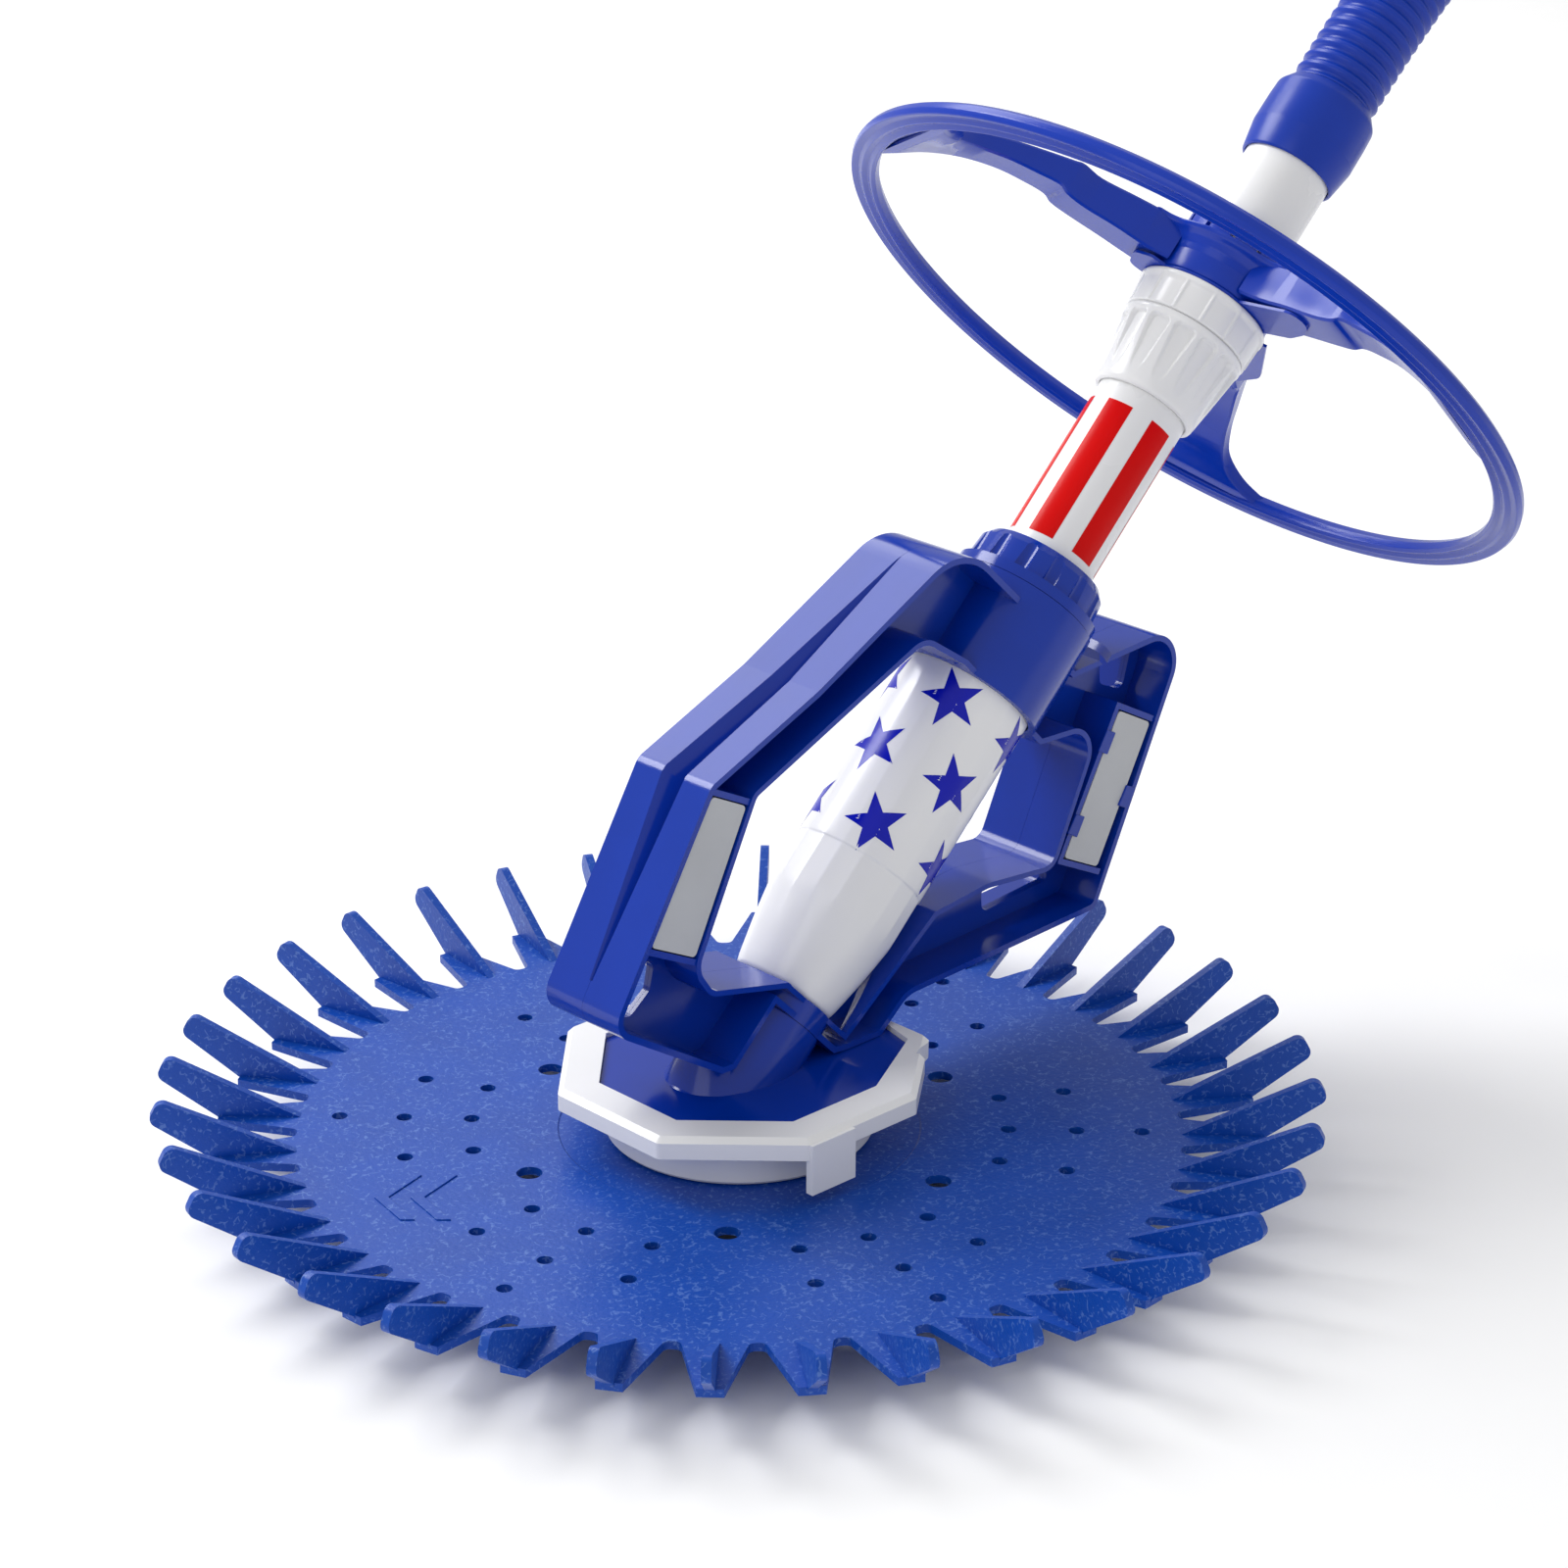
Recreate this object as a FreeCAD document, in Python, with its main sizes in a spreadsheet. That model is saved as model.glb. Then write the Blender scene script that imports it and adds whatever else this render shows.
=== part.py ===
"""Pool cleaner head with a finned disc, a leaning body, a deflector wheel and one hose section.

Frame: millimetres, +Z up, the floor is z = 0 and the disc turns about the Z axis. The body and its
pipe lean from the disc towards +X, in the plane y = 0. Pieces that share the leaning pipe axis are
drawn upright, with their local z as the distance along that axis, and their Placement leans them.
"""

import FreeCAD, Part
import math
import os
import Sketcher
from FreeCAD import Placement, Rotation, Vector

SIZES = {
    # heights above the floor
    "pad_shoulder_height": 14.7,
    "disc_underside": 15.0,
    "disc_top": 18.0,
    "skirt_bottom": 18.3,
    "plate_bottom": 35.0,
    "plate_top": 41.0,
    "ring_top": 42.8,
    # foot pad and skirt
    "pad_outer_radius": 52.0,
    "pad_mouth_radius": 30.0,
    "pad_neck_radius": 40.0,
    "pad_neck_top": 26.0,
    "skirt_radius": 46.5,
    "skirt_bore_radius": 40.2,
    # finned disc
    "disc_bore_radius": 40.4,
    "disc_radius": 181.0,
    "fin_tip_radius": 201.0,
    "fin_tip_height": 21.0,
    "fin_root_radius": 152.5,
    "fin_width": 3.2,
    "fin_count": 36,
    "slot_inner_half": 2.5,
    "slot_outer_half": 11.8,
    "disc_turn": 14.0,
    "small_hole_radius": 2.75,
    "large_hole_radius": 4.45,
    "inner_hole_circle": 93.0,
    "middle_hole_circle": 116.5,
    "outer_hole_circle": 139.0,
    "large_hole_circle": 79.8,
    "step_radius": 63.0,
    # eight-sided foot ring
    "ring_corner_radius": 65.8,
    "ring_opening_radius": 51.0,
    "plate_corner_radius": 50.7,
    "tab_width": 20.0,
    "tab_bottom": 22.5,
    # leaning axis
    "axis_height": 42.2,
    "tilt_angle": 45.64,
    # foot base and body
    "socket_radius": 19.6,
    "socket_bore": 15.5,
    "socket_top": 19.4,
    "body_half_width": 18.0,
    "web_half": 1.6,
    "split_gap": 0.05,
    "band_wall": 2.2,
    "window_wall": 2.0,
    "body_ring_top": 27.8,
    "collar_bottom": 153.0,
    "collar_top": 191.0,
    "collar_radius": 28.0,
    "collar_bore": 25.2,
    # cassette
    "cassette_bottom": 28.0,
    "cassette_top": 170.0,
    "cassette_radius": 24.8,
    "cassette_neck": 19.0,
    "cassette_wall": 2.2,
    "diaphragm_bottom": 62.0,
    "diaphragm_top": 128.0,
    "diaphragm_radius": 20.0,
    "diaphragm_lip": 10.0,
    # pipes
    "pipe_radius": 17.35,
    "pipe_end_radius": 16.75,
    "pipe_wall": 2.0,
    "pipe_top": 398.0,
    "pipe_flange_bottom": 170.4,
    "pipe_flange_top": 175.0,
    "inner_pipe_radius": 12.0,
    "inner_pipe_wall": 1.6,
    # nuts, collar and wheel
    "nut_bottom": 191.3,
    "nut_flange_top": 195.2,
    "nut_top": 207.5,
    "nut_flange_radius": 27.6,
    "nut_radius": 24.6,
    "nut_bore": 17.7,
    "nut_rib_count": 14,
    "lock_bottom": 275.5,
    "lock_split": 305.6,
    "lock_top": 319.4,
    "lock_bottom_radius": 19.7,
    "lock_split_radius": 23.9,
    "lock_top_radius": 25.4,
    "lock_rib_count": 16,
    "clip_thickness": 1.2,
    "hub_bottom": 321.0,
    "hub_top": 338.0,
    "hub_radius": 24.6,
    "hub_bore": 20.3,
    "collet_radius": 19.9,
    "collet_top": 351.0,
    "rim_radius": 137.2,
    "rim_width": 10.8,
    "rim_bottom": 300.8,
    "rim_top": 308.8,
    "spoke_width": 22.0,
    "spoke_turn": 35.0,
    # hose and cuffs
    "cuff_bottom": 379.5,
    "cuff_length": 32.5,
    "cuff_radius": 20.2,
    "cuff_bore": 17.05,
    "cuff_bore_depth": 22.0,
    "hose_radius": 16.75,
    "hose_wall": 2.0,
}

# The hose: how far it runs, how steeply and how far to the side it heads, one entry per run.
HOSE_RUNS = [
    (92, 44.36, 0),
    (112, 18, 2),
    (112, -12, -3),
    (130, -41, -7),
    (150, -64, -9),
    (130, -50, -9),
    (118, -24, -13),
    (100, -10.3, -26),
    (70, 0, -44),
]

LEANING = (
    "placement(vector(0; 0; Sizes.axis_height); "
    "rotation(vector(0; 1; 0); Sizes.tilt_angle))"
)
SIDE_VIEW = Rotation(Vector(1, 0, 0), 90)  # a sketch's x and y become X and Z
SLACK = 1.0  # how far a cutting solid reaches past what it cuts

doc = FreeCAD.newDocument("PoolCleaner")
sizes = doc.addObject("Spreadsheet::Sheet", "Sizes")
pieces = []


# ------------------------------------------------------------------ the sheet and small helpers


def fill_sheet():
    """Put every driving size in the spreadsheet, each under its own word."""
    for row, (word, value) in enumerate(SIZES.items(), start=1):
        sizes.set(f"A{row}", word)
        sizes.set(f"B{row}", str(value))
        sizes.setAlias(f"B{row}", word)
    doc.recompute()


def size(expression):
    """The value of an expression in the sheet's words, such as "Sizes.disc_top"."""
    return float(sizes.evalExpression(expression))


def keep(item, label, placement=None):
    """Register a finished piece under the name of its node."""
    item.Label = label
    if placement:
        item.setExpression("Placement", placement)
    pieces.append(item)
    return item


def sketch_on(body, role, name):
    """A sketch on one of the body's own origin planes."""
    plane = next(f for f in body.Origin.OriginFeatures if f.Role == role)
    sketch = body.newObject("Sketcher::SketchObject", name)
    sketch.AttachmentSupport = [(plane, "")]
    sketch.MapMode = "FlatFace"
    return sketch


def draw_profile(sketch, corners):
    """A closed outline whose corners are pairs of expressions, held by constraints."""
    points = [Vector(size(across), size(up), 0) for across, up in corners]
    count = len(points)
    for k in range(count):
        sketch.addGeometry(Part.LineSegment(points[k], points[(k + 1) % count]), False)
    for k in range(count):
        sketch.addConstraint(Sketcher.Constraint("Coincident", k, 2, (k + 1) % count, 1))
    for k, corner in enumerate(corners):
        for kind, text in zip(("DistanceX", "DistanceY"), corner):
            distance = Sketcher.Constraint(kind, -1, 1, k, 1, size(text))
            index = sketch.addConstraint(distance)
            sketch.renameConstraint(index, f"{kind}{k}")
            sketch.setExpression(f"Constraints.{kind}{k}", text)


def draw_circle(sketch, x, y, radius):
    """A circle whose centre is placed by numbers and whose radius is an expression."""
    centre = Vector(x, y, 0)
    index = sketch.addGeometry(Part.Circle(centre, Vector(0, 0, 1), size(radius)), False)
    constraint = sketch.addConstraint(Sketcher.Constraint("Radius", index, size(radius)))
    sketch.renameConstraint(constraint, f"Radius{index}")
    sketch.setExpression(f"Constraints.Radius{index}", radius)
    return index


def revolve(body, name, corners, groove=False):
    """Turn a profile (radius, height) once around the body's Z axis."""
    sketch = sketch_on(body, "XZ_Plane", name + "_profile")
    draw_profile(sketch, corners)
    kind = "PartDesign::Groove" if groove else "PartDesign::Revolution"
    feature = body.newObject(kind, name)
    feature.Profile = sketch
    feature.ReferenceAxis = (sketch, ["V_Axis"])
    feature.Angle = 360
    body.Tip = feature
    return feature


def turned(label, corners, placement=LEANING):
    """A piece that is one profile turned around its axis."""
    body = doc.addObject("PartDesign::Body", label + "_body")
    revolve(body, label + "_turn", corners)
    return keep(body, label, placement)


def repeat(body, feature, count):
    """Repeat a feature around the body's Z axis."""
    axis = next(f for f in body.Origin.OriginFeatures if f.Role == "Z_Axis")
    pattern = body.newObject("PartDesign::PolarPattern", feature.Name + "_pattern")
    pattern.Originals = [feature]
    pattern.Axis = (axis, [""])
    pattern.Angle = 360
    pattern.setExpression("Occurrences", count)
    body.Tip = pattern
    return pattern


def rounded_loop(corners):
    """Edges of a closed outline; each corner is (x, y, radius of its rounding)."""
    count = len(corners)
    points = [Vector(x, y, 0) for x, y, _ in corners]
    ends = []
    for k, (_, _, radius) in enumerate(corners):
        here = points[k]
        back = (points[k - 1] - here).normalize()
        ahead = (points[(k + 1) % count] - here).normalize()
        half = back.getAngle(ahead) / 2
        reach = radius / math.tan(half)
        middle = here + (back + ahead).normalize() * (radius / math.sin(half) - radius)
        ends.append((here + back * reach, middle, here + ahead * reach))
    edges = []
    for k, (_, _, radius) in enumerate(corners):
        if radius > 0:
            edges.append(Part.Arc(*ends[k]))
        edges.append(Part.LineSegment(ends[k][2], ends[(k + 1) % count][0]))
    return edges


def side_sketch(name, corners):
    """A sketch in the plane of the lean, with x along X and y along Z."""
    sketch = doc.addObject("Sketcher::SketchObject", name)
    sketch.Placement = Placement(Vector(0, 0, 0), SIDE_VIEW)
    sketch.addGeometry(rounded_loop(corners), False)
    return sketch


def extrude(name, sketch, low, high):
    """A prism from y = low to y = high, both expressions."""
    prism = doc.addObject("Part::Extrusion", name)
    prism.Base = sketch
    prism.DirMode = "Custom"
    prism.Dir = Vector(0, 1, 0)
    prism.Solid = True
    prism.setExpression("LengthFwd", high)
    prism.setExpression("LengthRev", f"-({low})")
    return prism


def offset(name, sketch, distance):
    """The sketch's outline moved outward, or inward for a negative distance."""
    outline = doc.addObject("Part::Offset2D", name)
    outline.Source = sketch
    outline.Join = 2
    outline.setExpression("Value", distance)
    return outline


def cylinder(name, radius, low, high, placement=None):
    """A cylinder around local Z between two heights, all expressions."""
    item = doc.addObject("Part::Cylinder", name)
    item.setExpression("Radius", radius)
    item.setExpression("Height", f"({high}) - ({low})")
    base = f"placement(vector(0; 0; {low}); rotation(vector(0; 0; 1); 0))"
    item.setExpression("Placement", f"{placement} * {base}" if placement else base)
    return item


def cut(name, base, tool):
    item = doc.addObject("Part::Cut", name)
    item.Base = base
    item.Tool = tool
    return item


def fuse(name, shapes):
    item = doc.addObject("Part::MultiFuse", name)
    item.Shapes = shapes
    item.Refine = True
    return item


# ------------------------------------------------------------------------------------- the foot


def make_foot_pad():
    """Soft ring on the floor, with a neck that goes up through the disc into the skirt."""
    turned(
        "foot_pad",
        [
            ("Sizes.pad_mouth_radius", "0.001"),
            ("Sizes.pad_outer_radius", "0.001"),
            ("Sizes.pad_outer_radius", "5"),
            ("Sizes.pad_outer_radius - 4", "Sizes.pad_shoulder_height"),
            ("Sizes.pad_neck_radius", "Sizes.pad_shoulder_height"),
            ("Sizes.pad_neck_radius", "Sizes.pad_neck_top"),
            ("Sizes.pad_mouth_radius + 5", "Sizes.pad_neck_top"),
            ("Sizes.pad_mouth_radius", "Sizes.pad_shoulder_height"),
        ],
        "placement(vector(0; 0; 0); rotation(vector(0; 0; 1); 0))",
    )


def draw_slot(sketch):
    """The V-shaped gap between two teeth, half a tooth pitch from the X axis."""
    turn = Rotation(Vector(0, 0, 1), 180 / size("Sizes.fin_count"))
    inner, outer = size("Sizes.fin_root_radius"), size("Sizes.disc_radius") + SLACK
    narrow, wide = size("Sizes.slot_inner_half"), size("Sizes.slot_outer_half")
    corners = [(inner, -narrow, 2.4), (outer, -wide, 0), (outer, wide, 0), (inner, narrow, 2.4)]
    turned_corners = [(*turn.multVec(Vector(x, y, 0))[:2], r) for x, y, r in corners]
    sketch.addGeometry(rounded_loop(turned_corners), False)


def draw_holes(sketch):
    """One sixth of the holes: seven small ones about the X axis and a large one beside them."""
    places = [("Sizes.outer_hole_circle", 0)]
    for circle in ("Sizes.inner_hole_circle", "Sizes.middle_hole_circle"):
        places += [(circle, turn) for turn in (-15, 0, 15)]
    for circle, turn in places:
        spot = Rotation(Vector(0, 0, 1), turn).multVec(Vector(size(circle), 0, 0))
        draw_circle(sketch, spot.x, spot.y, "Sizes.small_hole_radius")
    spot = Rotation(Vector(0, 0, 1), 30).multVec(Vector(size("Sizes.large_hole_circle"), 0, 0))
    draw_circle(sketch, spot.x, spot.y, "Sizes.large_hole_radius")


def add_through_cut(body, name, draw, count):
    """Cut a drawn outline through the disc and repeat it around the axis."""
    sketch = sketch_on(body, "XY_Plane", name + "_sketch")
    draw(sketch)
    pocket = body.newObject("PartDesign::Pocket", name)
    pocket.Profile = sketch
    pocket.Type = 1
    pocket.Midplane = True
    body.Tip = pocket
    repeat(body, pocket, count)


def make_finned_disc():
    """Flat rubber disc with 36 teeth, each carrying an upright blade that leans outward."""
    body = doc.addObject("PartDesign::Body", "finned_disc_body")
    revolve(
        body,
        "disc_plate",
        [
            ("Sizes.disc_bore_radius", "Sizes.disc_underside"),
            ("Sizes.disc_radius", "Sizes.disc_underside"),
            ("Sizes.disc_radius", "Sizes.disc_top"),
            ("Sizes.step_radius", "Sizes.disc_top"),
            ("Sizes.step_radius - 0.6", "Sizes.disc_top - 0.4"),
            ("Sizes.disc_bore_radius", "Sizes.disc_top - 0.4"),
        ],
    )
    add_through_cut(body, "tooth_gap", draw_slot, "Sizes.fin_count")
    add_through_cut(body, "holes", draw_holes, "6")
    blade_sketch = sketch_on(body, "XZ_Plane", "blade_sketch")
    root, tip = size("Sizes.fin_root_radius"), size("Sizes.fin_tip_radius")
    low, top = size("Sizes.disc_underside"), size("Sizes.disc_top")
    peak = top + size("Sizes.fin_tip_height")
    blade_sketch.addGeometry(
        rounded_loop(
            [
                (root, top, 0),
                (tip - 2.6, peak + 1.1, 3.3),
                (tip + 1.4, peak - 6.5, 3.3),
                (size("Sizes.disc_radius") + 0.4, top - 0.4, 0),
                (size("Sizes.disc_radius") - 0.4, low, 0),
                (root, low, 0),
            ]
        ),
        False,
    )
    blade = body.newObject("PartDesign::Pad", "blade")
    blade.Profile = blade_sketch
    blade.Midplane = True
    blade.setExpression("Length", "Sizes.fin_width")
    body.Tip = blade
    repeat(body, blade, "Sizes.fin_count")
    keep(
        body,
        "finned_disc",
        "placement(vector(0; 0; 0); rotation(vector(0; 0; 1); Sizes.disc_turn))",
    )


def make_foot_skirt():
    """White round collar between the disc and the foot plate."""
    turned(
        "foot_skirt",
        [
            ("Sizes.skirt_bore_radius", "Sizes.skirt_bottom"),
            ("Sizes.skirt_radius - 0.8", "Sizes.skirt_bottom"),
            ("Sizes.skirt_radius", "Sizes.skirt_bottom + 1"),
            ("Sizes.skirt_radius", "Sizes.plate_bottom - 0.1"),
            ("Sizes.skirt_bore_radius", "Sizes.plate_bottom - 0.1"),
        ],
        "placement(vector(0; 0; 0); rotation(vector(0; 0; 1); 0))",
    )


def eight_sides(radius, nose):
    """Corners of the foot's outline: an octagon drawn out towards +X by a blunt nose."""
    corner = [
        (radius * math.cos(math.radians(a)), radius * math.sin(math.radians(a)))
        for a in (67.5, 112.5, 157.5, 202.5, 247.5, 292.5)
    ]
    return [*corner, *[(x, -y) for x, y in nose], *reversed(nose)]


def prism(name, corners, low, high, rounding=0.0):
    """A flat polygon plate between two heights, as a body with one pad."""
    body = doc.addObject("PartDesign::Body", name + "_body")
    sketch = sketch_on(body, "XY_Plane", name + "_sketch")
    sketch.addGeometry(rounded_loop([(x, y, rounding) for x, y in corners]), False)
    sketch.AttachmentOffset = Placement(Vector(0, 0, size(low)), Rotation())
    sketch.setExpression("AttachmentOffset.Base.z", low)
    pad = body.newObject("PartDesign::Pad", name + "_pad")
    pad.Profile = sketch
    pad.setExpression("Length", f"({high}) - ({low})")
    body.Tip = pad
    return body


def make_foot_ring():
    """White eight-sided bumper around the foot plate, with a clip tab and a notched corner."""
    ring = prism(
        "ring_outline",
        eight_sides(size("Sizes.ring_corner_radius"), [(61.5, 31.0)]),
        "Sizes.plate_bottom",
        "Sizes.ring_top",
        rounding=2.5,
    )
    doc.recompute()
    pad = ring.Tip
    top = max(range(len(pad.Shape.Faces)), key=lambda k: pad.Shape.Faces[k].CenterOfMass.z)
    bevel = ring.newObject("PartDesign::Chamfer", "ring_bevel")
    bevel.Base = (pad, [f"Face{top + 1}"])
    bevel.Size = 2.0
    ring.Tip = bevel
    opening = prism(
        "ring_opening",
        eight_sides(size("Sizes.ring_opening_radius"), [(53.5, 28.6), (57.6, 12.0)]),
        f"Sizes.plate_bottom - {SLACK}",
        f"Sizes.ring_top + {SLACK}",
    )
    notch = prism(
        "ring_notch",
        [(47.5, -38.5), (66, -62), (86, -40), (61.2, -31.8)],
        f"Sizes.plate_bottom - {SLACK}",
        f"Sizes.ring_top + {SLACK}",
    )
    tab = doc.addObject("Part::Box", "clip_tab")
    tab.setExpression("Length", "Sizes.tab_width")
    tab.Width = 3
    tab.setExpression("Height", "Sizes.ring_top - 2 - Sizes.tab_bottom")
    tab.setExpression(
        "Placement",
        "placement(vector(-25; -62.2; Sizes.tab_bottom); rotation(vector(0; 0; 1); 0))",
    )
    plain = cut("ring_without_opening", fuse("ring_and_tab", [ring, tab]), opening)
    keep(cut("foot_ring_part", plain, notch), "foot_ring")


def make_foot_base():
    """Blue foot plate with the socket that leans with the body and a conical boss in front."""
    plate = prism(
        "base_plate",
        eight_sides(size("Sizes.plate_corner_radius"), [(53.2, 28.4), (57.3, 11.8)]),
        "Sizes.plate_bottom",
        "Sizes.plate_top",
    )
    socket = cylinder("base_socket", "Sizes.socket_radius", "-30", "Sizes.socket_top", LEANING)
    boss = doc.addObject("Part::Cone", "base_boss")
    boss.Radius1 = 17
    boss.Radius2 = 11
    boss.Height = 10.4
    boss.setExpression(
        "Placement", "placement(vector(-12; 0; Sizes.plate_top); rotation(vector(0; 0; 1); 0))"
    )
    solid = fuse("base_solid", [plate, socket, boss])
    below = doc.addObject("Part::Box", "below_plate")
    below.Length = 200
    below.Width = 200
    below.Height = 60
    below.setExpression(
        "Placement",
        "placement(vector(-100; -100; Sizes.plate_bottom - 60); rotation(vector(0; 0; 1); 0))",
    )
    bore = cylinder("base_bore", "Sizes.socket_bore", "-40", "Sizes.socket_top + 5", LEANING)
    mouth = cylinder(
        "base_mouth", "Sizes.pad_mouth_radius", "Sizes.plate_bottom - 1", "Sizes.plate_bottom + 3"
    )
    keep(
        cut("foot_base_part", solid, fuse("base_cuts", [below, bore, mouth])),
        "foot_base",
    )


# ------------------------------------------------------------------------------------- the body


def over_disc(corners):
    """Lift an outline given above the disc's top face to heights above the floor."""
    lift = size("Sizes.disc_top")
    return [(x, z + lift, radius) for x, z, radius in corners]


BODY_OUTLINE = [
    (0.3, 51.9, 0),
    (-18.6, 33.8, 0),
    (-24.6, 33.8, 2),
    (-73.8, 64.3, 8),
    (-29.0, 139.5, 6),
    (19.4, 160.0, 0),
    (88.5, 196.2, 24),
    (118.0, 168.0, 0),
    (146.0, 134.4, 0),
    (208.8, 138.6, 13),
    (160.6, 38.5, 5),
    (64.0, 34.6, 12),
    (50.8, 23.4, 0),
    (34.0, 23.4, 0),
    (27.9, 24.1, 0),
]
WINDOW_OUTLINE = [
    (6.3, 57.8, 0),
    (-28.6, 65.7, 6),
    (-35.3, 75.4, 8),
    (-8.5, 130.0, 4),
    (70.0, 164.5, 9),
    (89.8, 151.2, 0),
    (129.0, 111.2, 0),
    (159.0, 110.0, 9),
    (136.8, 62.5, 6),
    (104.0, 65.5, 20),
    (77.0, 62.5, 2),
    (33.7, 29.8, 0),
]
# The blocks' corners run clockwise, from the upper left one.
FLOAT_OUTLINE = [(-28.0, 135.4), (-12.9, 127.8), (-36.2, 80.2), (-55.6, 89.8)]
WEIGHT_OUTLINE = [(170.9, 112.7), (187.7, 103.7), (161.5, 54.6), (143.9, 63.2)]
WEB_HOLES = [
    [(-64, 72, 3), (-48.4, 78, 2), (-40.4, 74.4, 3), (-42.4, 65, 3), (-51.4, 58, 3), (-63, 62, 2)],
    [(177, 131, 3), (195, 131, 4), (189.6, 111.6, 3), (177.4, 117, 3)],
    [(117.4, 53, 1.5), (143.5, 54.6, 2), (152.6, 51, 2), (151, 47.2, 2), (118, 44.6, 3)],
]


def strip_beside(start, end):
    """Corners of a thin wall just outside the side of a block that runs from start to end."""
    gap, thickness, overhang = 0.5, 2.2, 2.5
    along = (Vector(*end, 0) - Vector(*start, 0)).normalize()
    out = Vector(-along.y, along.x, 0)
    low = Vector(*start, 0) - along * overhang + out * gap
    high = Vector(*end, 0) + along * overhang + out * gap
    corners = (low, high, high + out * thickness, low + out * thickness)
    return [(corner.x, corner.y, 0) for corner in corners]


def block_seats():
    """Thin walls above and below each block, and one on the inner side of the rear one."""
    sides = [(FLOAT_OUTLINE, 0), (FLOAT_OUTLINE, 2)]
    sides += [(WEIGHT_OUTLINE, 0), (WEIGHT_OUTLINE, 2), (WEIGHT_OUTLINE, 3)]
    reach = "Sizes.body_half_width - 0.6"
    walls = []
    for k, (block, side) in enumerate(sides):
        corners = strip_beside(block[side], block[(side + 1) % 4])
        sketch = side_sketch(f"seat_{k}", over_disc(corners))
        walls.append(extrude(f"seat_{k}_wall", sketch, f"-({reach})", reach))
    return fuse("seats", walls)


def mirrored_pair(name, sketch, depth, reach):
    """Prisms on both sides of the web, from depth out to reach."""
    near = extrude(name + "_near", sketch, f"-({reach})", f"-({depth})")
    far = extrude(name + "_far", sketch, depth, reach)
    return fuse(name, [near, far])


def groove_wedge(name, extra):
    """The tapered V along the front band, deepest at the band's corner, or its wider backing."""
    stations = [
        (-66.5, 75.6, 0.86, -0.51, 0.4, 0.3),
        (-29.0, 139.5, 0.66, -0.75, 9.0, 5.5),
        (19.4, 160.0, 0.43, -0.90, 5.2, 4.2),
        (75.7, 189.5, 0.46, -0.89, 0.4, 0.3),
    ]
    lift = size("Sizes.disc_top")
    over = 1.5
    sections = []
    for k, (x, z, inward_x, inward_z, depth, half) in enumerate(stations):
        depth, half = depth + extra, half + extra
        inward = Vector(inward_x, 0, inward_z)
        top = Vector(x, 0, z + lift) - inward * over
        spread = Vector(0, half * (1 + over / depth), 0)
        section = doc.addObject("Part::Polygon", f"{name}_{k}")
        section.Nodes = [top + spread, top - spread, top + inward * (over + depth)]
        section.Close = True
        sections.append(section)
    wedge = doc.addObject("Part::Loft", name)
    wedge.Sections = sections
    wedge.Solid = True
    wedge.Ruled = True
    return wedge


def make_body():
    """Two mirrored shells: an outer band, a window wall, a thin web, a collar and a lower ring."""
    half = "Sizes.body_half_width"
    outline = side_sketch("body_outline", over_disc(BODY_OUTLINE))
    window = side_sketch("window_outline", over_disc(WINDOW_OUTLINE))
    whole = extrude("body_whole", outline, f"-{half}", half)
    inside = offset("band_inside", outline, "-Sizes.band_wall")
    around = offset("window_around", window, "Sizes.window_wall")
    channel = cut(
        "channel",
        mirrored_pair("channel_fill", inside, "Sizes.web_half", f"{half} + {SLACK}"),
        extrude("window_keep", around, f"-{half} - 2", f"{half} + 2"),
    )
    seats = doc.addObject("Part::Common", "seats_inside")
    seats.Base = fuse("seats_and_backing", [block_seats(), groove_wedge("groove_backing", 2.2)])
    seats.Tool = extrude("body_limit", outline, f"-{half}", half)
    collar = cylinder(
        "collar", "Sizes.collar_radius", "Sizes.collar_bottom", "Sizes.collar_top", LEANING
    )
    ring = cylinder(
        "body_ring", "Sizes.socket_radius", "Sizes.socket_top + 0.2", "Sizes.body_ring_top", LEANING
    )
    shell = fuse("body_shell", [cut("body_channelled", whole, channel), seats, collar, ring])
    tools = [
        extrude("window_cut", window, "-60", "60"),
        groove_wedge("groove", 0),
        cylinder("collar_bore_cut", "Sizes.collar_bore", "Sizes.body_ring_top", "230", LEANING),
        cylinder("above_collar_cut", "40", "Sizes.collar_top", "260", LEANING),
        cylinder("ring_bore_cut", "Sizes.socket_bore", "-60", "60", LEANING),
        cylinder("socket_room", "Sizes.socket_radius + 0.2", "-60", "Sizes.socket_top + 0.2", LEANING),
    ]
    for k, corners in enumerate(WEB_HOLES):
        hole = side_sketch(f"web_hole_{k}", over_disc(corners))
        tools.append(extrude(f"web_hole_{k}_cut", hole, "-2.5", "2.5"))
    collar_keep = cylinder(
        "collar_keep", "Sizes.collar_radius", "Sizes.collar_bottom", "Sizes.collar_top", LEANING
    )
    tools[0] = cut("window_tool", tools[0], collar_keep)
    open_body = cut("body_open", shell, fuse("body_cuts", tools))
    for label, side in (("body_half_left", -1), ("body_half_right", 1)):
        box = doc.addObject("Part::Box", label + "_side")
        box.Length, box.Width, box.Height = 600, 100, 600
        shift = "-100 - Sizes.split_gap" if side < 0 else "Sizes.split_gap"
        box.setExpression(
            "Placement", f"placement(vector(-300; {shift}; -100); rotation(vector(0; 0; 1); 0))"
        )
        half_body = doc.addObject("Part::Common", label + "_part")
        half_body.Base = open_body
        half_body.Tool = box
        keep(half_body, label)


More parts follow.
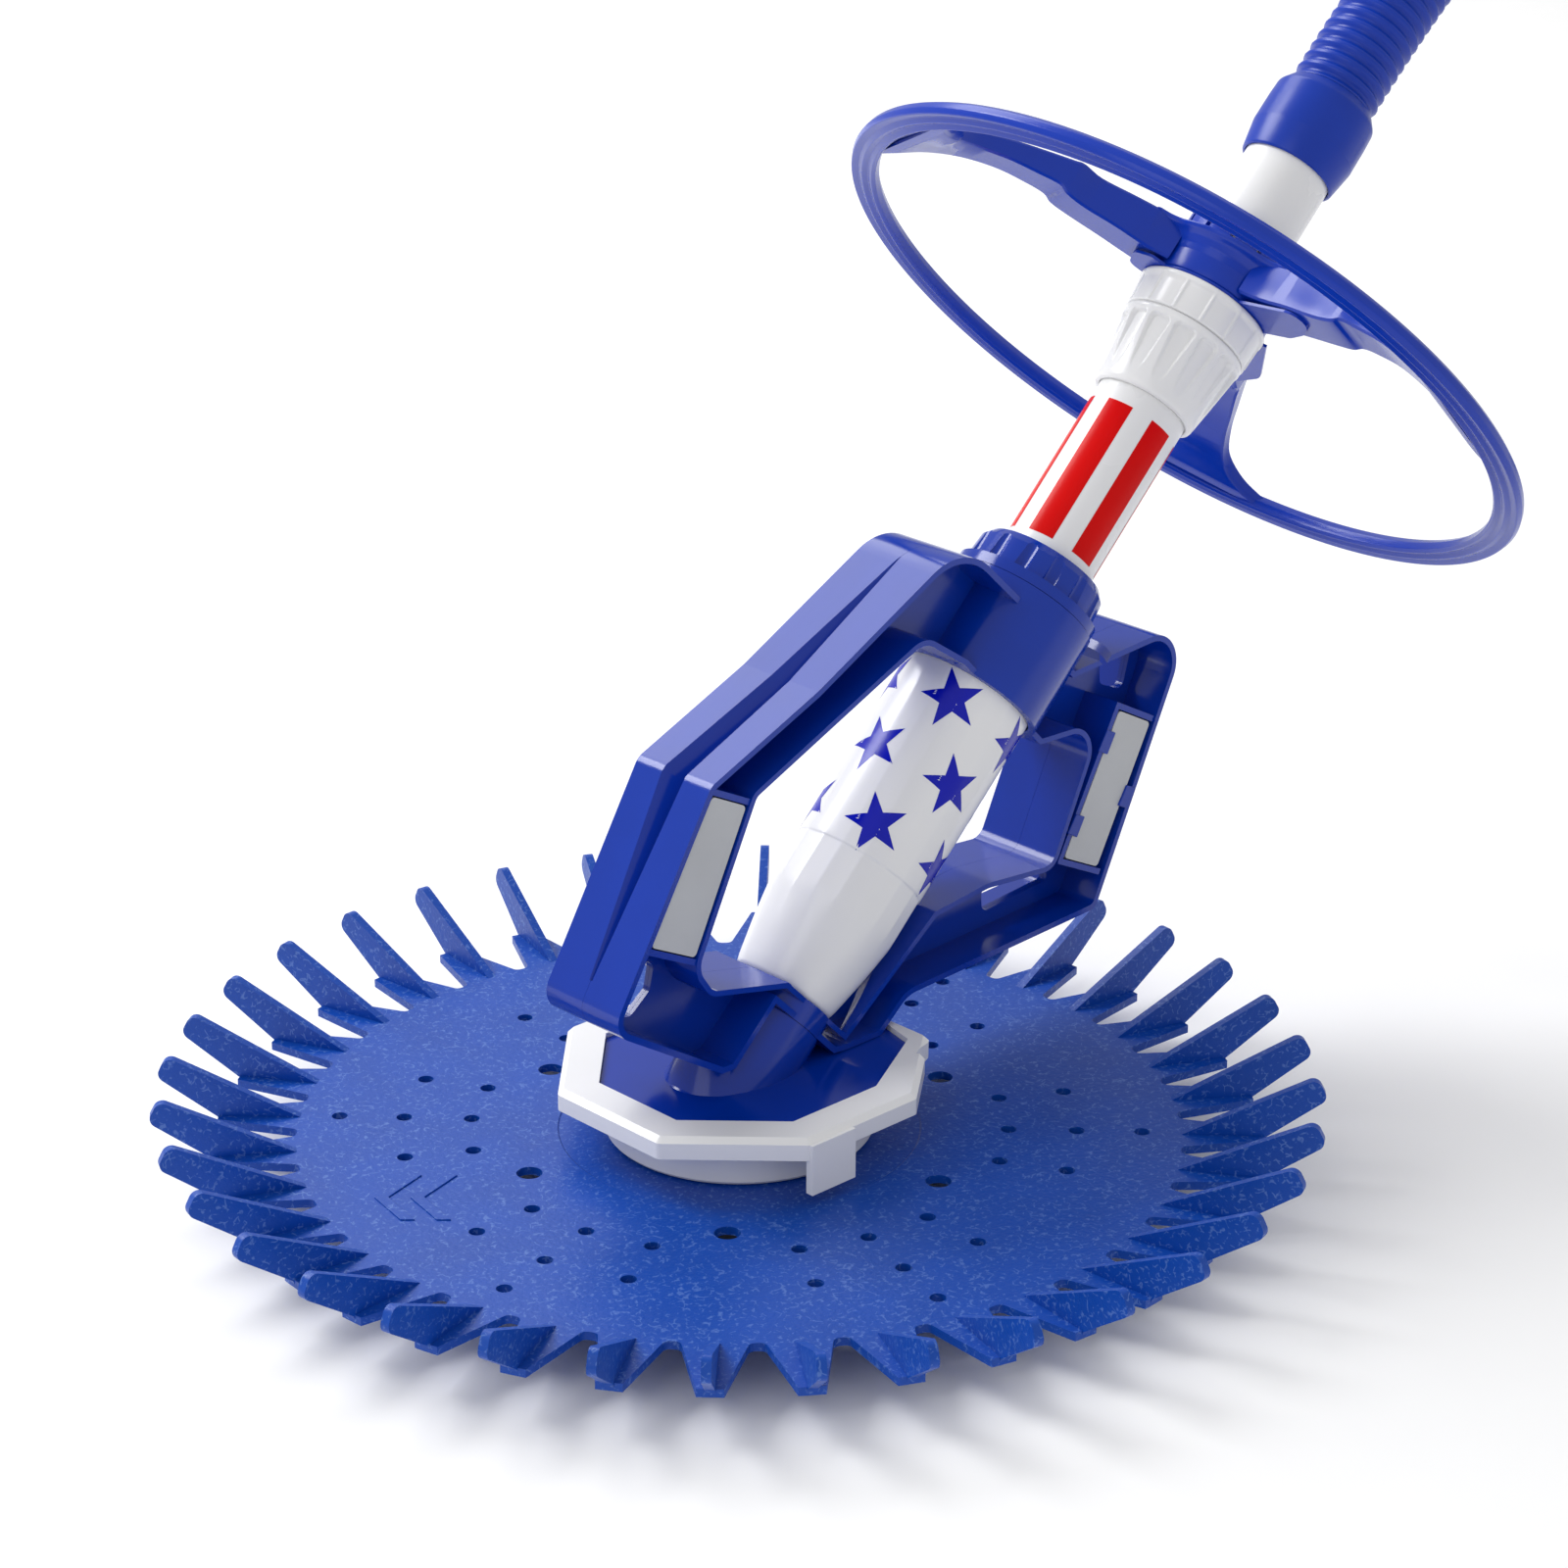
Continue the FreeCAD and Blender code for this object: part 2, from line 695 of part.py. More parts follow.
def make_blocks():
    """Grey floats in the front pockets and grey weights in the rear ones, one on each side."""
    blocks = (
        ("front_float", FLOAT_OUTLINE, "Sizes.web_half + 7.6"),
        ("rear_weight", WEIGHT_OUTLINE, "Sizes.web_half + 0.4"),
    )
    outer = "Sizes.body_half_width - 0.6"
    for label, corners, inner in blocks:
        outline = side_sketch(label + "_outline", over_disc([(x, z, 1.6) for x, z in corners]))
        keep(extrude(label + "_near", outline, f"-({outer})", f"-({inner})"), label + "_left")
        keep(extrude(label + "_far", outline, inner, outer), label + "_right")


# ------------------------------------------------------------------------ inside the cassette


def make_cassette():
    """White tube in the body's window, necked at its lower end."""
    wall = "Sizes.cassette_wall"
    turned(
        "cassette_tube",
        [
            (f"Sizes.cassette_neck - {wall}", "Sizes.cassette_bottom"),
            ("Sizes.cassette_neck", "Sizes.cassette_bottom"),
            ("Sizes.cassette_neck + 0.8", "Sizes.cassette_bottom + 3"),
            ("Sizes.cassette_radius", "Sizes.cassette_bottom + 32"),
            ("Sizes.cassette_radius", "Sizes.cassette_top"),
            (f"Sizes.cassette_radius - {wall}", "Sizes.cassette_top"),
            (f"Sizes.cassette_radius - {wall}", "Sizes.cassette_bottom + 32"),
            (f"Sizes.cassette_neck + 0.8 - {wall}", "Sizes.cassette_bottom + 3"),
        ],
    )
    turned(
        "diaphragm",
        [
            ("Sizes.diaphragm_lip - 1.5", "Sizes.diaphragm_bottom"),
            ("Sizes.diaphragm_lip", "Sizes.diaphragm_bottom"),
            ("Sizes.diaphragm_radius", "Sizes.diaphragm_top - 22"),
            ("Sizes.diaphragm_radius", "Sizes.diaphragm_top"),
            ("Sizes.diaphragm_radius - 1.8", "Sizes.diaphragm_top"),
            ("Sizes.diaphragm_radius - 1.8", "Sizes.diaphragm_top - 22"),
        ],
    )
    turned(
        "diaphragm_ring",
        [
            ("Sizes.inner_pipe_radius + 0.2", "Sizes.diaphragm_top + 0.2"),
            ("Sizes.cassette_radius - Sizes.cassette_wall - 0.2", "Sizes.diaphragm_top + 0.2"),
            ("Sizes.cassette_radius - Sizes.cassette_wall - 0.2", "Sizes.diaphragm_top + 7"),
            ("Sizes.inner_pipe_radius + 0.2", "Sizes.diaphragm_top + 7"),
        ],
    )


def make_inner_pipe():
    """The flow pipe from the diaphragm up to the cuff."""
    turned(
        "inner_pipe",
        [
            ("Sizes.inner_pipe_radius - Sizes.inner_pipe_wall", "Sizes.diaphragm_top + 1"),
            ("Sizes.inner_pipe_radius", "Sizes.diaphragm_top + 1"),
            ("Sizes.inner_pipe_radius", "Sizes.pipe_top"),
            ("Sizes.inner_pipe_radius - Sizes.inner_pipe_wall", "Sizes.pipe_top"),
        ],
    )


def make_seals():
    """The rubber ring under the cassette, and the seal and pressure ring above the pipe flange."""
    turned(
        "lower_seal",
        [
            ("Sizes.inner_pipe_radius + 0.2", "Sizes.cassette_bottom - 6"),
            ("Sizes.socket_bore - 0.2", "Sizes.cassette_bottom - 6"),
            ("Sizes.socket_bore - 0.2", "Sizes.cassette_bottom - 0.4"),
            ("Sizes.inner_pipe_radius + 0.2", "Sizes.cassette_bottom - 0.4"),
        ],
    )
    for label, low, high in (("upper_seal", 0.2, 3.4), ("compression_ring", 3.6, 7.8)):
        turned(
            label,
            [
                ("Sizes.pipe_radius + 0.1", f"Sizes.pipe_flange_top + {low}"),
                ("Sizes.collar_bore - 0.3", f"Sizes.pipe_flange_top + {low}"),
                ("Sizes.collar_bore - 0.3", f"Sizes.pipe_flange_top + {high}"),
                ("Sizes.pipe_radius + 0.1", f"Sizes.pipe_flange_top + {high}"),
            ],
        )


# ------------------------------------------------------------------------------- pipe and nuts


def make_outer_pipe():
    """White pipe from its flange in the body's collar up into the cuff, a little slimmer on top."""
    bore = "Sizes.pipe_end_radius - Sizes.pipe_wall"
    turned(
        "outer_pipe",
        [
            (bore, "Sizes.pipe_flange_bottom"),
            ("Sizes.collar_bore - 0.3", "Sizes.pipe_flange_bottom"),
            ("Sizes.collar_bore - 0.3", "Sizes.pipe_flange_top"),
            ("Sizes.pipe_radius", "Sizes.pipe_flange_top"),
            ("Sizes.pipe_radius", "Sizes.lock_split"),
            ("Sizes.pipe_end_radius", "Sizes.hub_top"),
            ("Sizes.pipe_end_radius", "Sizes.pipe_top"),
            (bore, "Sizes.pipe_top"),
        ],
    )


def add_grip_flutes(body, name, low, high, centre, radius, count):
    """Round flutes cut along the outside, all alike, with their lower ends at one height."""
    sketch = sketch_on(body, "XY_Plane", name + "_sketch")
    sketch.AttachmentOffset = Placement(Vector(0, 0, size(low)), Rotation())
    sketch.setExpression("AttachmentOffset.Base.z", low)
    draw_circle(sketch, size(centre), 0, radius)
    flute = body.newObject("PartDesign::Pocket", name)
    flute.Profile = sketch
    flute.Reversed = True
    flute.setExpression("Length", f"({high}) - ({low})")
    body.Tip = flute
    repeat(body, flute, count)


def make_hand_nut():
    """Blue nut: a skirt inside the collar, a flange on it and a fluted grip."""
    body = doc.addObject("PartDesign::Body", "hand_nut_body")
    revolve(
        body,
        "hand_nut_turn",
        [
            ("Sizes.nut_bore", "Sizes.pipe_flange_top + 8.1"),
            ("Sizes.collar_bore - 0.3", "Sizes.pipe_flange_top + 8.1"),
            ("Sizes.collar_bore - 0.3", "Sizes.nut_bottom"),
            ("Sizes.nut_flange_radius", "Sizes.nut_bottom"),
            ("Sizes.nut_flange_radius", "Sizes.nut_flange_top"),
            ("Sizes.nut_radius + 0.8", "Sizes.nut_flange_top"),
            ("Sizes.nut_radius", "Sizes.nut_top - 3"),
            ("Sizes.nut_radius - 2.4", "Sizes.nut_top"),
            ("Sizes.nut_bore", "Sizes.nut_top"),
        ],
    )
    add_grip_flutes(
        body,
        "nut_flute",
        "Sizes.nut_flange_top",
        "Sizes.nut_top + 1",
        "Sizes.nut_radius + 2.4",
        "3.2",
        "Sizes.nut_rib_count",
    )
    keep(body, "hand_nut", LEANING)


def make_lock_collar():
    """White clamp for the wheel: a tapered fluted nut below and a ribbed ring above it."""
    body = doc.addObject("PartDesign::Body", "collar_nut_body")
    revolve(
        body,
        "collar_nut_turn",
        [
            ("Sizes.nut_bore", "Sizes.lock_bottom"),
            ("Sizes.lock_bottom_radius - 0.8", "Sizes.lock_bottom"),
            ("Sizes.lock_bottom_radius", "Sizes.lock_bottom + 1.2"),
            ("Sizes.lock_split_radius", "Sizes.lock_split - 0.3"),
            ("Sizes.nut_bore", "Sizes.lock_split - 0.3"),
        ],
    )
    add_grip_flutes(
        body,
        "collar_flute",
        "Sizes.lock_bottom + 5",
        "Sizes.lock_split - 3",
        "Sizes.lock_split_radius + 3.6",
        "5",
        "Sizes.lock_rib_count",
    )
    keep(body, "collar_nut", LEANING)
    turned(
        "collar_ring",
        [
            ("Sizes.nut_bore", "Sizes.lock_split"),
            ("Sizes.lock_split_radius + 0.4", "Sizes.lock_split"),
            ("Sizes.lock_top_radius - 0.5", "Sizes.lock_top - 2.2"),
            ("Sizes.lock_top_radius", "Sizes.lock_top - 1.6"),
            ("Sizes.lock_top_radius", "Sizes.lock_top"),
            ("Sizes.nut_bore", "Sizes.lock_top"),
        ],
    )


# ------------------------------------------------------------------------------------ the wheel


def make_wheel_clip():
    """Thin ring under the hub with three leaf-shaped tabs, one lying beside each spoke."""
    body = doc.addObject("PartDesign::Body", "wheel_clip_body")
    low = "Sizes.lock_top + 0.2"
    revolve(
        body,
        "clip_ring",
        [
            ("Sizes.nut_bore", low),
            ("Sizes.hub_radius", low),
            ("Sizes.hub_radius", f"{low} + Sizes.clip_thickness"),
            ("Sizes.nut_bore", f"{low} + Sizes.clip_thickness"),
        ],
    )
    sketch = sketch_on(body, "XY_Plane", "clip_leaf_sketch")
    sketch.AttachmentOffset = Placement(Vector(0, 0, size(low)), Rotation())
    sketch.setExpression("AttachmentOffset.Base.z", low)
    leaf = [
        (10, -22, 0),
        (10, -25, 0),
        (42, -20.3, 12),
        (59.5, -6.5, 5),
        (42, 7.5, 12),
        (20, 11, 0),
        (20.5, -5, 0),
    ]
    sketch.addGeometry(rounded_loop(leaf), False)
    pad = body.newObject("PartDesign::Pad", "clip_leaf")
    pad.Profile = sketch
    pad.setExpression("Length", "Sizes.clip_thickness")
    body.Tip = pad
    repeat(body, pad, "3")
    keep(
        body,
        "wheel_clip",
        f"{LEANING} * placement(vector(0; 0; 0); rotation(vector(0; 0; 1); 180 - Sizes.spoke_turn))",
    )


def make_deflector_wheel():
    """Blue wheel: hub, three sloping spokes and a rim lower down the axis than the hub."""
    body = doc.addObject("PartDesign::Body", "deflector_wheel_body")
    revolve(
        body,
        "wheel_hub",
        [
            ("Sizes.hub_bore", "Sizes.hub_bottom"),
            ("Sizes.hub_radius", "Sizes.hub_bottom"),
            ("Sizes.hub_radius", "Sizes.hub_top - 2"),
            ("Sizes.hub_radius - 2", "Sizes.hub_top"),
            ("Sizes.hub_bore", "Sizes.hub_top"),
        ],
    )
    spoke_sketch = sketch_on(body, "XZ_Plane", "spoke_sketch")
    draw_profile(
        spoke_sketch,
        [
            ("Sizes.hub_radius - 1.5", "Sizes.hub_bottom + 1"),
            ("62", "Sizes.hub_bottom"),
            ("72", "Sizes.hub_bottom + 0.5"),
            ("100", "Sizes.rim_top + 3.5"),
            ("Sizes.rim_radius - Sizes.rim_width + 2", "Sizes.rim_top - 4"),
            ("Sizes.rim_radius - Sizes.rim_width + 2", "Sizes.rim_top - 0.5"),
            ("100", "Sizes.rim_top + 8"),
            ("72", "Sizes.hub_top - 5"),
            ("Sizes.hub_radius - 1.5", "Sizes.hub_top - 2"),
        ],
    )
    spoke = body.newObject("PartDesign::Pad", "spoke")
    spoke.Profile = spoke_sketch
    spoke.Midplane = True
    spoke.setExpression("Length", "Sizes.spoke_width")
    body.Tip = spoke
    repeat(body, spoke, "3")
    revolve(
        body,
        "wheel_rim",
        [
            ("Sizes.rim_radius - Sizes.rim_width", "Sizes.rim_bottom + 1.6"),
            ("Sizes.rim_radius - Sizes.rim_width + 1.6", "Sizes.rim_bottom"),
            ("Sizes.rim_radius - 1.2", "Sizes.rim_bottom + 1"),
            ("Sizes.rim_radius", "Sizes.rim_bottom + 3"),
            ("Sizes.rim_radius", "Sizes.rim_top - 4"),
            ("Sizes.rim_radius - 3", "Sizes.rim_top - 0.6"),
            ("Sizes.rim_radius - 0.5 * Sizes.rim_width", "Sizes.rim_top"),
            ("Sizes.rim_radius - Sizes.rim_width + 2.2", "Sizes.rim_top - 1.2"),
            ("Sizes.rim_radius - Sizes.rim_width", "Sizes.rim_top - 3.6"),
        ],
    )
    keep(
        body,
        "deflector_wheel",
        f"{LEANING} * placement(vector(0; 0; 0); rotation(vector(0; 0; 1); 180 - Sizes.spoke_turn))",
    )


def make_wheel_collet():
    """Blue bearing sleeve of the wheel, with slotted spring fingers above the hub."""
    body = doc.addObject("PartDesign::Body", "wheel_collet_body")
    revolve(
        body,
        "collet_turn",
        [
            ("Sizes.pipe_radius + 0.15", "Sizes.hub_bottom"),
            ("Sizes.collet_radius", "Sizes.hub_bottom"),
            ("Sizes.collet_radius", "Sizes.hub_top + 0.4"),
            ("Sizes.collet_radius + 1.6", "Sizes.hub_top + 0.8"),
            ("Sizes.collet_radius + 1.0", "Sizes.collet_top"),
            ("Sizes.pipe_radius + 0.15", "Sizes.collet_top"),
        ],
    )
    sketch = sketch_on(body, "XY_Plane", "collet_slot_sketch")
    sketch.AttachmentOffset = Placement(Vector(0, 0, size("Sizes.hub_top + 3")), Rotation())
    sketch.setExpression("AttachmentOffset.Base.z", "Sizes.hub_top + 3")
    slot = [(15, -0.8, 0), (26, -0.8, 0), (26, 0.8, 0), (15, 0.8, 0)]
    sketch.addGeometry(rounded_loop(slot), False)
    pocket = body.newObject("PartDesign::Pocket", "collet_slot")
    pocket.Profile = sketch
    pocket.Reversed = True
    pocket.Length = 20
    body.Tip = pocket
    repeat(body, pocket, "8")
    keep(body, "wheel_collet", LEANING)


# ------------------------------------------------------------------------------- hose and cuffs


def cuff_profile(low):
    """Profile of a cuff whose mouth is at the height low."""
    top = f"{low} + Sizes.cuff_length"
    bore_end = f"{low} + Sizes.cuff_bore_depth"
    return [
        ("Sizes.cuff_bore", low),
        ("Sizes.cuff_radius - 2.2", low),
        ("Sizes.cuff_radius", f"{low} + 11"),
        ("Sizes.cuff_radius - 0.4", f"{top} - 4"),
        ("Sizes.hose_radius + 0.3", top),
        ("Sizes.hose_radius - 3.4", top),
        ("Sizes.hose_radius - 3.4", bore_end),
        ("Sizes.cuff_bore", bore_end),
    ]


def hose_points():
    """The hose's route: from the cuff's end face, run by run, to the end cuff."""
    lean = math.radians(size("90 - Sizes.tilt_angle"))
    start = size("Sizes.cuff_bottom + Sizes.cuff_length")
    here = Vector(
        start * math.cos(lean), 0, size("Sizes.axis_height") + start * math.sin(lean)
    )
    points = [here]
    for length, climb, side in HOSE_RUNS:
        up, turn = math.radians(climb), math.radians(side)
        heading = Vector(math.cos(up) * math.cos(turn), math.cos(up) * math.sin(turn), math.sin(up))
        here = here + heading * length
        points.append(here)
    return points


def hose_path(points):
    """Straight runs joined by tangent arcs, and the arcs' radii."""
    edges, radii = [], []
    start = points[0]
    for before, corner, after in zip(points, points[1:], points[2:]):
        back, ahead = (before - corner).normalize(), (after - corner).normalize()
        half_turn = (math.pi - back.getAngle(ahead)) / 2
        reach = 0.45 * min((before - corner).Length, (after - corner).Length)
        radius = reach / math.tan(half_turn)
        sag = radius / math.cos(half_turn) - radius
        enter, leave = corner + back * reach, corner + ahead * reach
        middle = corner + (back + ahead).normalize() * sag
        edges.append(Part.LineSegment(start, enter).toShape())
        edges.append(Part.Arc(enter, middle, leave).toShape())
        radii.append(radius)
        start = leave
    edges.append(Part.LineSegment(start, points[-1]).toShape())
    return Part.Wire(edges), radii


def round_sweep(path, start, heading, radius):
    circle = Part.Wire(Part.Circle(start, heading, radius).toShape())
    return path.makePipeShell([circle], True, False)


def make_hose():
    """The free hose, a plain tube along its route, with a cuff at each end."""
    turned("hose_cuff", cuff_profile("Sizes.cuff_bottom"))
    points = hose_points()
    path, radii = hose_path(points)
    heading = (points[1] - points[0]).normalize()
    outer, wall = size("Sizes.hose_radius"), size("Sizes.hose_wall")
    tube = round_sweep(path, points[0], heading, outer).cut(
        round_sweep(path, points[0], heading, outer - wall)
    )
    hose = doc.addObject("Part::Feature", "hose_tube")
    hose.Shape = tube
    hose.Placement = Placement()
    keep(hose, "hose")
    section = math.pi * (outer**2 - (outer - wall) ** 2)
    print("hose length", round(path.Length, 1), "volume ratio", tube.Volume / section / path.Length)
    print("hose radii", [round(radius) for radius in radii])
    for point in points:
        print("hose point", [round(value, 1) for value in point])
    end_cuff = turned("end_cuff", cuff_profile("1"), None)
    last = (points[-1] - points[-2]).normalize()
    mouth = points[-1] + last * size("Sizes.cuff_length + 1")
    end_cuff.Placement = Placement(mouth, Rotation(Vector(0, 0, 1), last * -1))


# ------------------------------------------------------------------------------------- the parts


def check_and_write():
    """Stop on any failed object or piece, then write one STEP file for each piece."""
    doc.recompute()
    for item in doc.Objects:
        bad = {"Invalid", "Error"} & set(item.State)
        if bad:
            raise RuntimeError(f"{item.Label}: {sorted(bad)}")
    os.makedirs("parts", exist_ok=True)
    for item in pieces:
        shape = item.Shape
        if shape.isNull() or not shape.isValid() or not shape.Solids:
            raise RuntimeError(f"{item.Label} has no valid solid")
        shape.exportStep(f"parts/{item.Label}.step")
        print(item.Label, len(shape.Solids), "solid(s)", round(shape.Volume / 1000, 2), "cm3")


fill_sheet()
make_foot_pad()
make_finned_disc()
make_foot_skirt()
make_foot_ring()
make_foot_base()
make_body()
make_blocks()
make_cassette()
make_inner_pipe()
make_seals()
make_outer_pipe()
make_hand_nut()
make_lock_collar()
make_wheel_clip()
make_deflector_wheel()
make_wheel_collet()
make_hose()
check_and_write()
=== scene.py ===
"""Pool cleaner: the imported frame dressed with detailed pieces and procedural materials."""

import math

import bmesh
import bpy
from mathutils import Matrix, Quaternion, Vector


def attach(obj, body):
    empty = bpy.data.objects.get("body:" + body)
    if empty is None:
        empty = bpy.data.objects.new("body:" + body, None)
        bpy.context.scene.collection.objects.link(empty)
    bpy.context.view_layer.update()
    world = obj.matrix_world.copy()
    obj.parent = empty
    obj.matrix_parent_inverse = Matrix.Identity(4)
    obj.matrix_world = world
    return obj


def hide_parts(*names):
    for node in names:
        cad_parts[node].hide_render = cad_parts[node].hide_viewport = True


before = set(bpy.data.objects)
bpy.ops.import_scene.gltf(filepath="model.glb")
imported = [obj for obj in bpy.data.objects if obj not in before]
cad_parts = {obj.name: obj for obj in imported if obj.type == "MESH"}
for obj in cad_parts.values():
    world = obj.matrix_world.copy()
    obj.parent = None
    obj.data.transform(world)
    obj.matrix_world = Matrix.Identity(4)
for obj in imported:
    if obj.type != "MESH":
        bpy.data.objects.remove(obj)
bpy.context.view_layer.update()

# ------------------------------------------------------------------------- the leaning pipe axis

TILT = math.radians(45.64)
AXIS_START = Vector((0, 0, 0.0422))
ALONG = Vector((math.sin(TILT), 0, math.cos(TILT)))
FRONT = Vector((-math.cos(TILT), 0, math.sin(TILT)))
SIDE = Vector((0, 1, 0))
LEAN = Matrix((
    (-FRONT.x, SIDE.x, ALONG.x, AXIS_START.x),
    (-FRONT.y, SIDE.y, ALONG.y, AXIS_START.y),
    (-FRONT.z, SIDE.z, ALONG.z, AXIS_START.z),
    (0, 0, 0, 1),
))


def on_axis(s, radius, turn):
    """A point at distance s along the pipe axis, turned from the front towards +Y, in mm."""
    out = FRONT * math.cos(turn) + SIDE * math.sin(turn)
    return AXIS_START + (ALONG * s + out * radius) / 1000


# ---------------------------------------------------------------------------------- small helpers


def new_object(name, mesh, body, material):
    """A piece with one material that rides on a body of the frame."""
    piece = bpy.data.objects.new(name, mesh)
    bpy.context.scene.collection.objects.link(piece)
    piece.data.materials.append(material)
    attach(piece, body)
    return piece


def mesh_from(name, points, faces, smooth=True):
    """A mesh of points in metres and faces that index them."""
    mesh = bpy.data.meshes.new(name)
    mesh.from_pydata([tuple(point) for point in points], [], faces)
    mesh.validate()
    mesh.update()
    for polygon in mesh.polygons:
        polygon.use_smooth = smooth
    return mesh


def finish_outward(work, mesh):
    """What was worked on as the mesh, with its faces turned outward."""
    bmesh.ops.recalc_face_normals(work, faces=work.faces)
    work.to_mesh(mesh)
    work.free()
    return mesh


def face_outward(mesh):
    """The same mesh with its faces turned outward."""
    work = bmesh.new()
    work.from_mesh(mesh)
    return finish_outward(work, mesh)


def ring_faces(rings, count, close_ends=False, close_loop=False):
    """Quads between rings of points; a closed loop joins the last ring to the first one."""
    faces = []
    last = rings if close_loop else rings - 1
    for i in range(last):
        for k in range(count):
            a, b = i * count + k, i * count + (k + 1) % count
            c, d = ((i + 1) % rings) * count + (k + 1) % count, ((i + 1) % rings) * count + k
            faces.append((a, b, c, d))
    if close_ends:
        faces.append(tuple(reversed(range(count))))
        faces.append(tuple(range((rings - 1) * count, rings * count)))
    return faces


def lathe(name, profile, segments=96, place=LEAN):
    """A closed profile of (radius, height) in mm turned around local Z and put in place."""
    points, count = [], len(profile)
    for k in range(segments):
        turn = 2 * math.pi * k / segments
        for radius, height in profile:
            local = Vector((radius * math.cos(turn), radius * math.sin(turn), height)) / 1000
            points.append(place @ local)
    return face_outward(mesh_from(name, points, ring_faces(segments, count, close_loop=True)))


def polar_shell(name, heights, radius_at, inner, segments):
    """A ring-shaped solid along the pipe axis whose outer radius depends on height and turn.

    The outside goes up through heights (s, mm) at radius_at(s, turn); inner closes it back down
    through (radius, s) pairs.
    """
    turns = [2 * math.pi * k / segments for k in range(segments)]
    points = [on_axis(s, radius_at(s, turn), turn) for s in heights for turn in turns]
    points += [on_axis(s, radius, turn) for radius, s in inner for turn in turns]
    rings = len(heights) + len(inner)
    return face_outward(mesh_from(name, points, ring_faces(rings, segments, close_loop=True)))


def tube_section(bore, radius, low, high):
    """A plain tube's wall as a closed profile."""
    return [(bore, low), (radius, low), (radius, high), (bore, high)]


def steps_between(low, high, step):
    """Evenly spaced values from low to high, about a step apart."""
    count = max(1, round((high - low) / step))
    return [low + (high - low) * k / count for k in range(count + 1)]


def blend_in(value, low, high):
    """0 below low, 1 above high, and a smooth rise between."""
    share = min(1.0, max(0.0, (value - low) / (high - low)))
    return share * share * (3 - 2 * share)


def between(value, table):
    """Straight-line lookup in a table of (position, value) pairs."""
    for (x0, y0), (x1, y1) in zip(table, table[1:]):
        if value <= x1:
            return y0 + (y1 - y0) * max(0.0, value - x0) / (x1 - x0)
    return table[-1][1]


def rounded(corners, steps=5):
    """A closed profile whose corners (x, y, radius) are rounded with short chords."""
    count, outline = len(corners), []
    for k, (x, y, radius) in enumerate(corners):
        here = Vector((x, y))
        if radius == 0:
            outline.append((x, y))
            continue
        back = (Vector(corners[k - 1][:2]) - here).normalized()
        ahead = (Vector(corners[(k + 1) % count][:2]) - here).normalized()
        half = back.angle(ahead) / 2
        centre = here + (back + ahead).normalized() * radius / math.sin(half)
        start = here + back * radius / math.tan(half) - centre
        end = here + ahead * radius / math.tan(half) - centre
        sweep = start.angle_signed(end)
        for step in range(steps + 1):
            turned = start.copy()
            turned.rotate(Matrix.Rotation(-sweep * step / steps, 2))
            outline.append(tuple(centre + turned))
    return outline


def soften(piece, width, segments=2, angle=30):
    """Rounded edges: the flat faces are merged first, then their edges are bevelled."""
    merge = piece.modifiers.new("merge", "DECIMATE")
    merge.decimate_type = "DISSOLVE"
    merge.angle_limit = math.radians(1)
    bevel = piece.modifiers.new("bevel", "BEVEL")
    bevel.width = width
    bevel.segments = segments
    bevel.limit_method = "ANGLE"
    bevel.angle_limit = math.radians(angle)
    bevel.harden_normals = True
    for polygon in piece.data.polygons:
        polygon.use_smooth = True


# -------------------------------------------------------------------------------------- materials


def linear(colour):
    """Display colour out of 255 to the linear values the shader uses."""
    values = [c / 255 for c in colour]
    return [v / 12.92 if v <= 0.04045 else ((v + 0.055) / 1.055) ** 2.4 for v in values] + [1.0]


def add(tree, kind, **values):
    """A shader node with its settings; a name that isn't a setting is an input's."""
    node = tree.nodes.new(kind)
    for key, value in values.items():
        if hasattr(node, key):
            setattr(node, key, value)
        else:
            node.inputs[key.replace("_", " ")].default_value = value
    return node


MOTTLE_SCALE = 35.0
SMOOTHEST, ROUGHEST = 0.85, 1.2
SKIN_DEPTH = 0.0004


def plastic(name, colour, roughness, variation=0.06, coat=0.0, grain=900, bump=0.02, specular=0.5):
    """Moulded plastic: slight mottling in colour and roughness and a fine moulded skin."""
    material = bpy.data.materials.new(name)
    material.use_nodes = True
    tree = material.node_tree
    link = tree.links.new
    shader = tree.nodes["Principled BSDF"]
    shader.inputs["Coat Weight"].default_value = coat
    shader.inputs["Coat Roughness"].default_value = 0.08
    shader.inputs["Specular IOR Level"].default_value = specular
    where = add(tree, "ShaderNodeTexCoord")
    cloud = add(tree, "ShaderNodeTexNoise", Scale=MOTTLE_SCALE, Detail=4.0)
    link(where.outputs["Object"], cloud.inputs["Vector"])
    base = linear(colour)
    ramp = add(tree, "ShaderNodeValToRGB")
    dark, light = ramp.color_ramp.elements
    dark.position, light.position = 0.3, 0.7
    dark.color = [c * (1 - variation) for c in base[:3]] + [1]
    light.color = [min(1, c * (1 + variation)) for c in base[:3]] + [1]
    link(cloud.outputs["Fac"], ramp.inputs["Fac"])
    link(ramp.outputs["Color"], shader.inputs["Base Color"])
    rough = add(
        tree, "ShaderNodeMapRange", To_Min=roughness * SMOOTHEST, To_Max=roughness * ROUGHEST
    )
    link(cloud.outputs["Fac"], rough.inputs["Value"])
    link(rough.outputs["Result"], shader.inputs["Roughness"])
    skin = add(tree, "ShaderNodeTexNoise", Scale=float(grain), Detail=2.0)
    link(where.outputs["Object"], skin.inputs["Vector"])
    relief = add(tree, "ShaderNodeBump", Strength=bump, Distance=SKIN_DEPTH)
    link(skin.outputs["Fac"], relief.inputs["Height"])
    link(relief.outputs["Normal"], shader.inputs["Normal"])
    return material


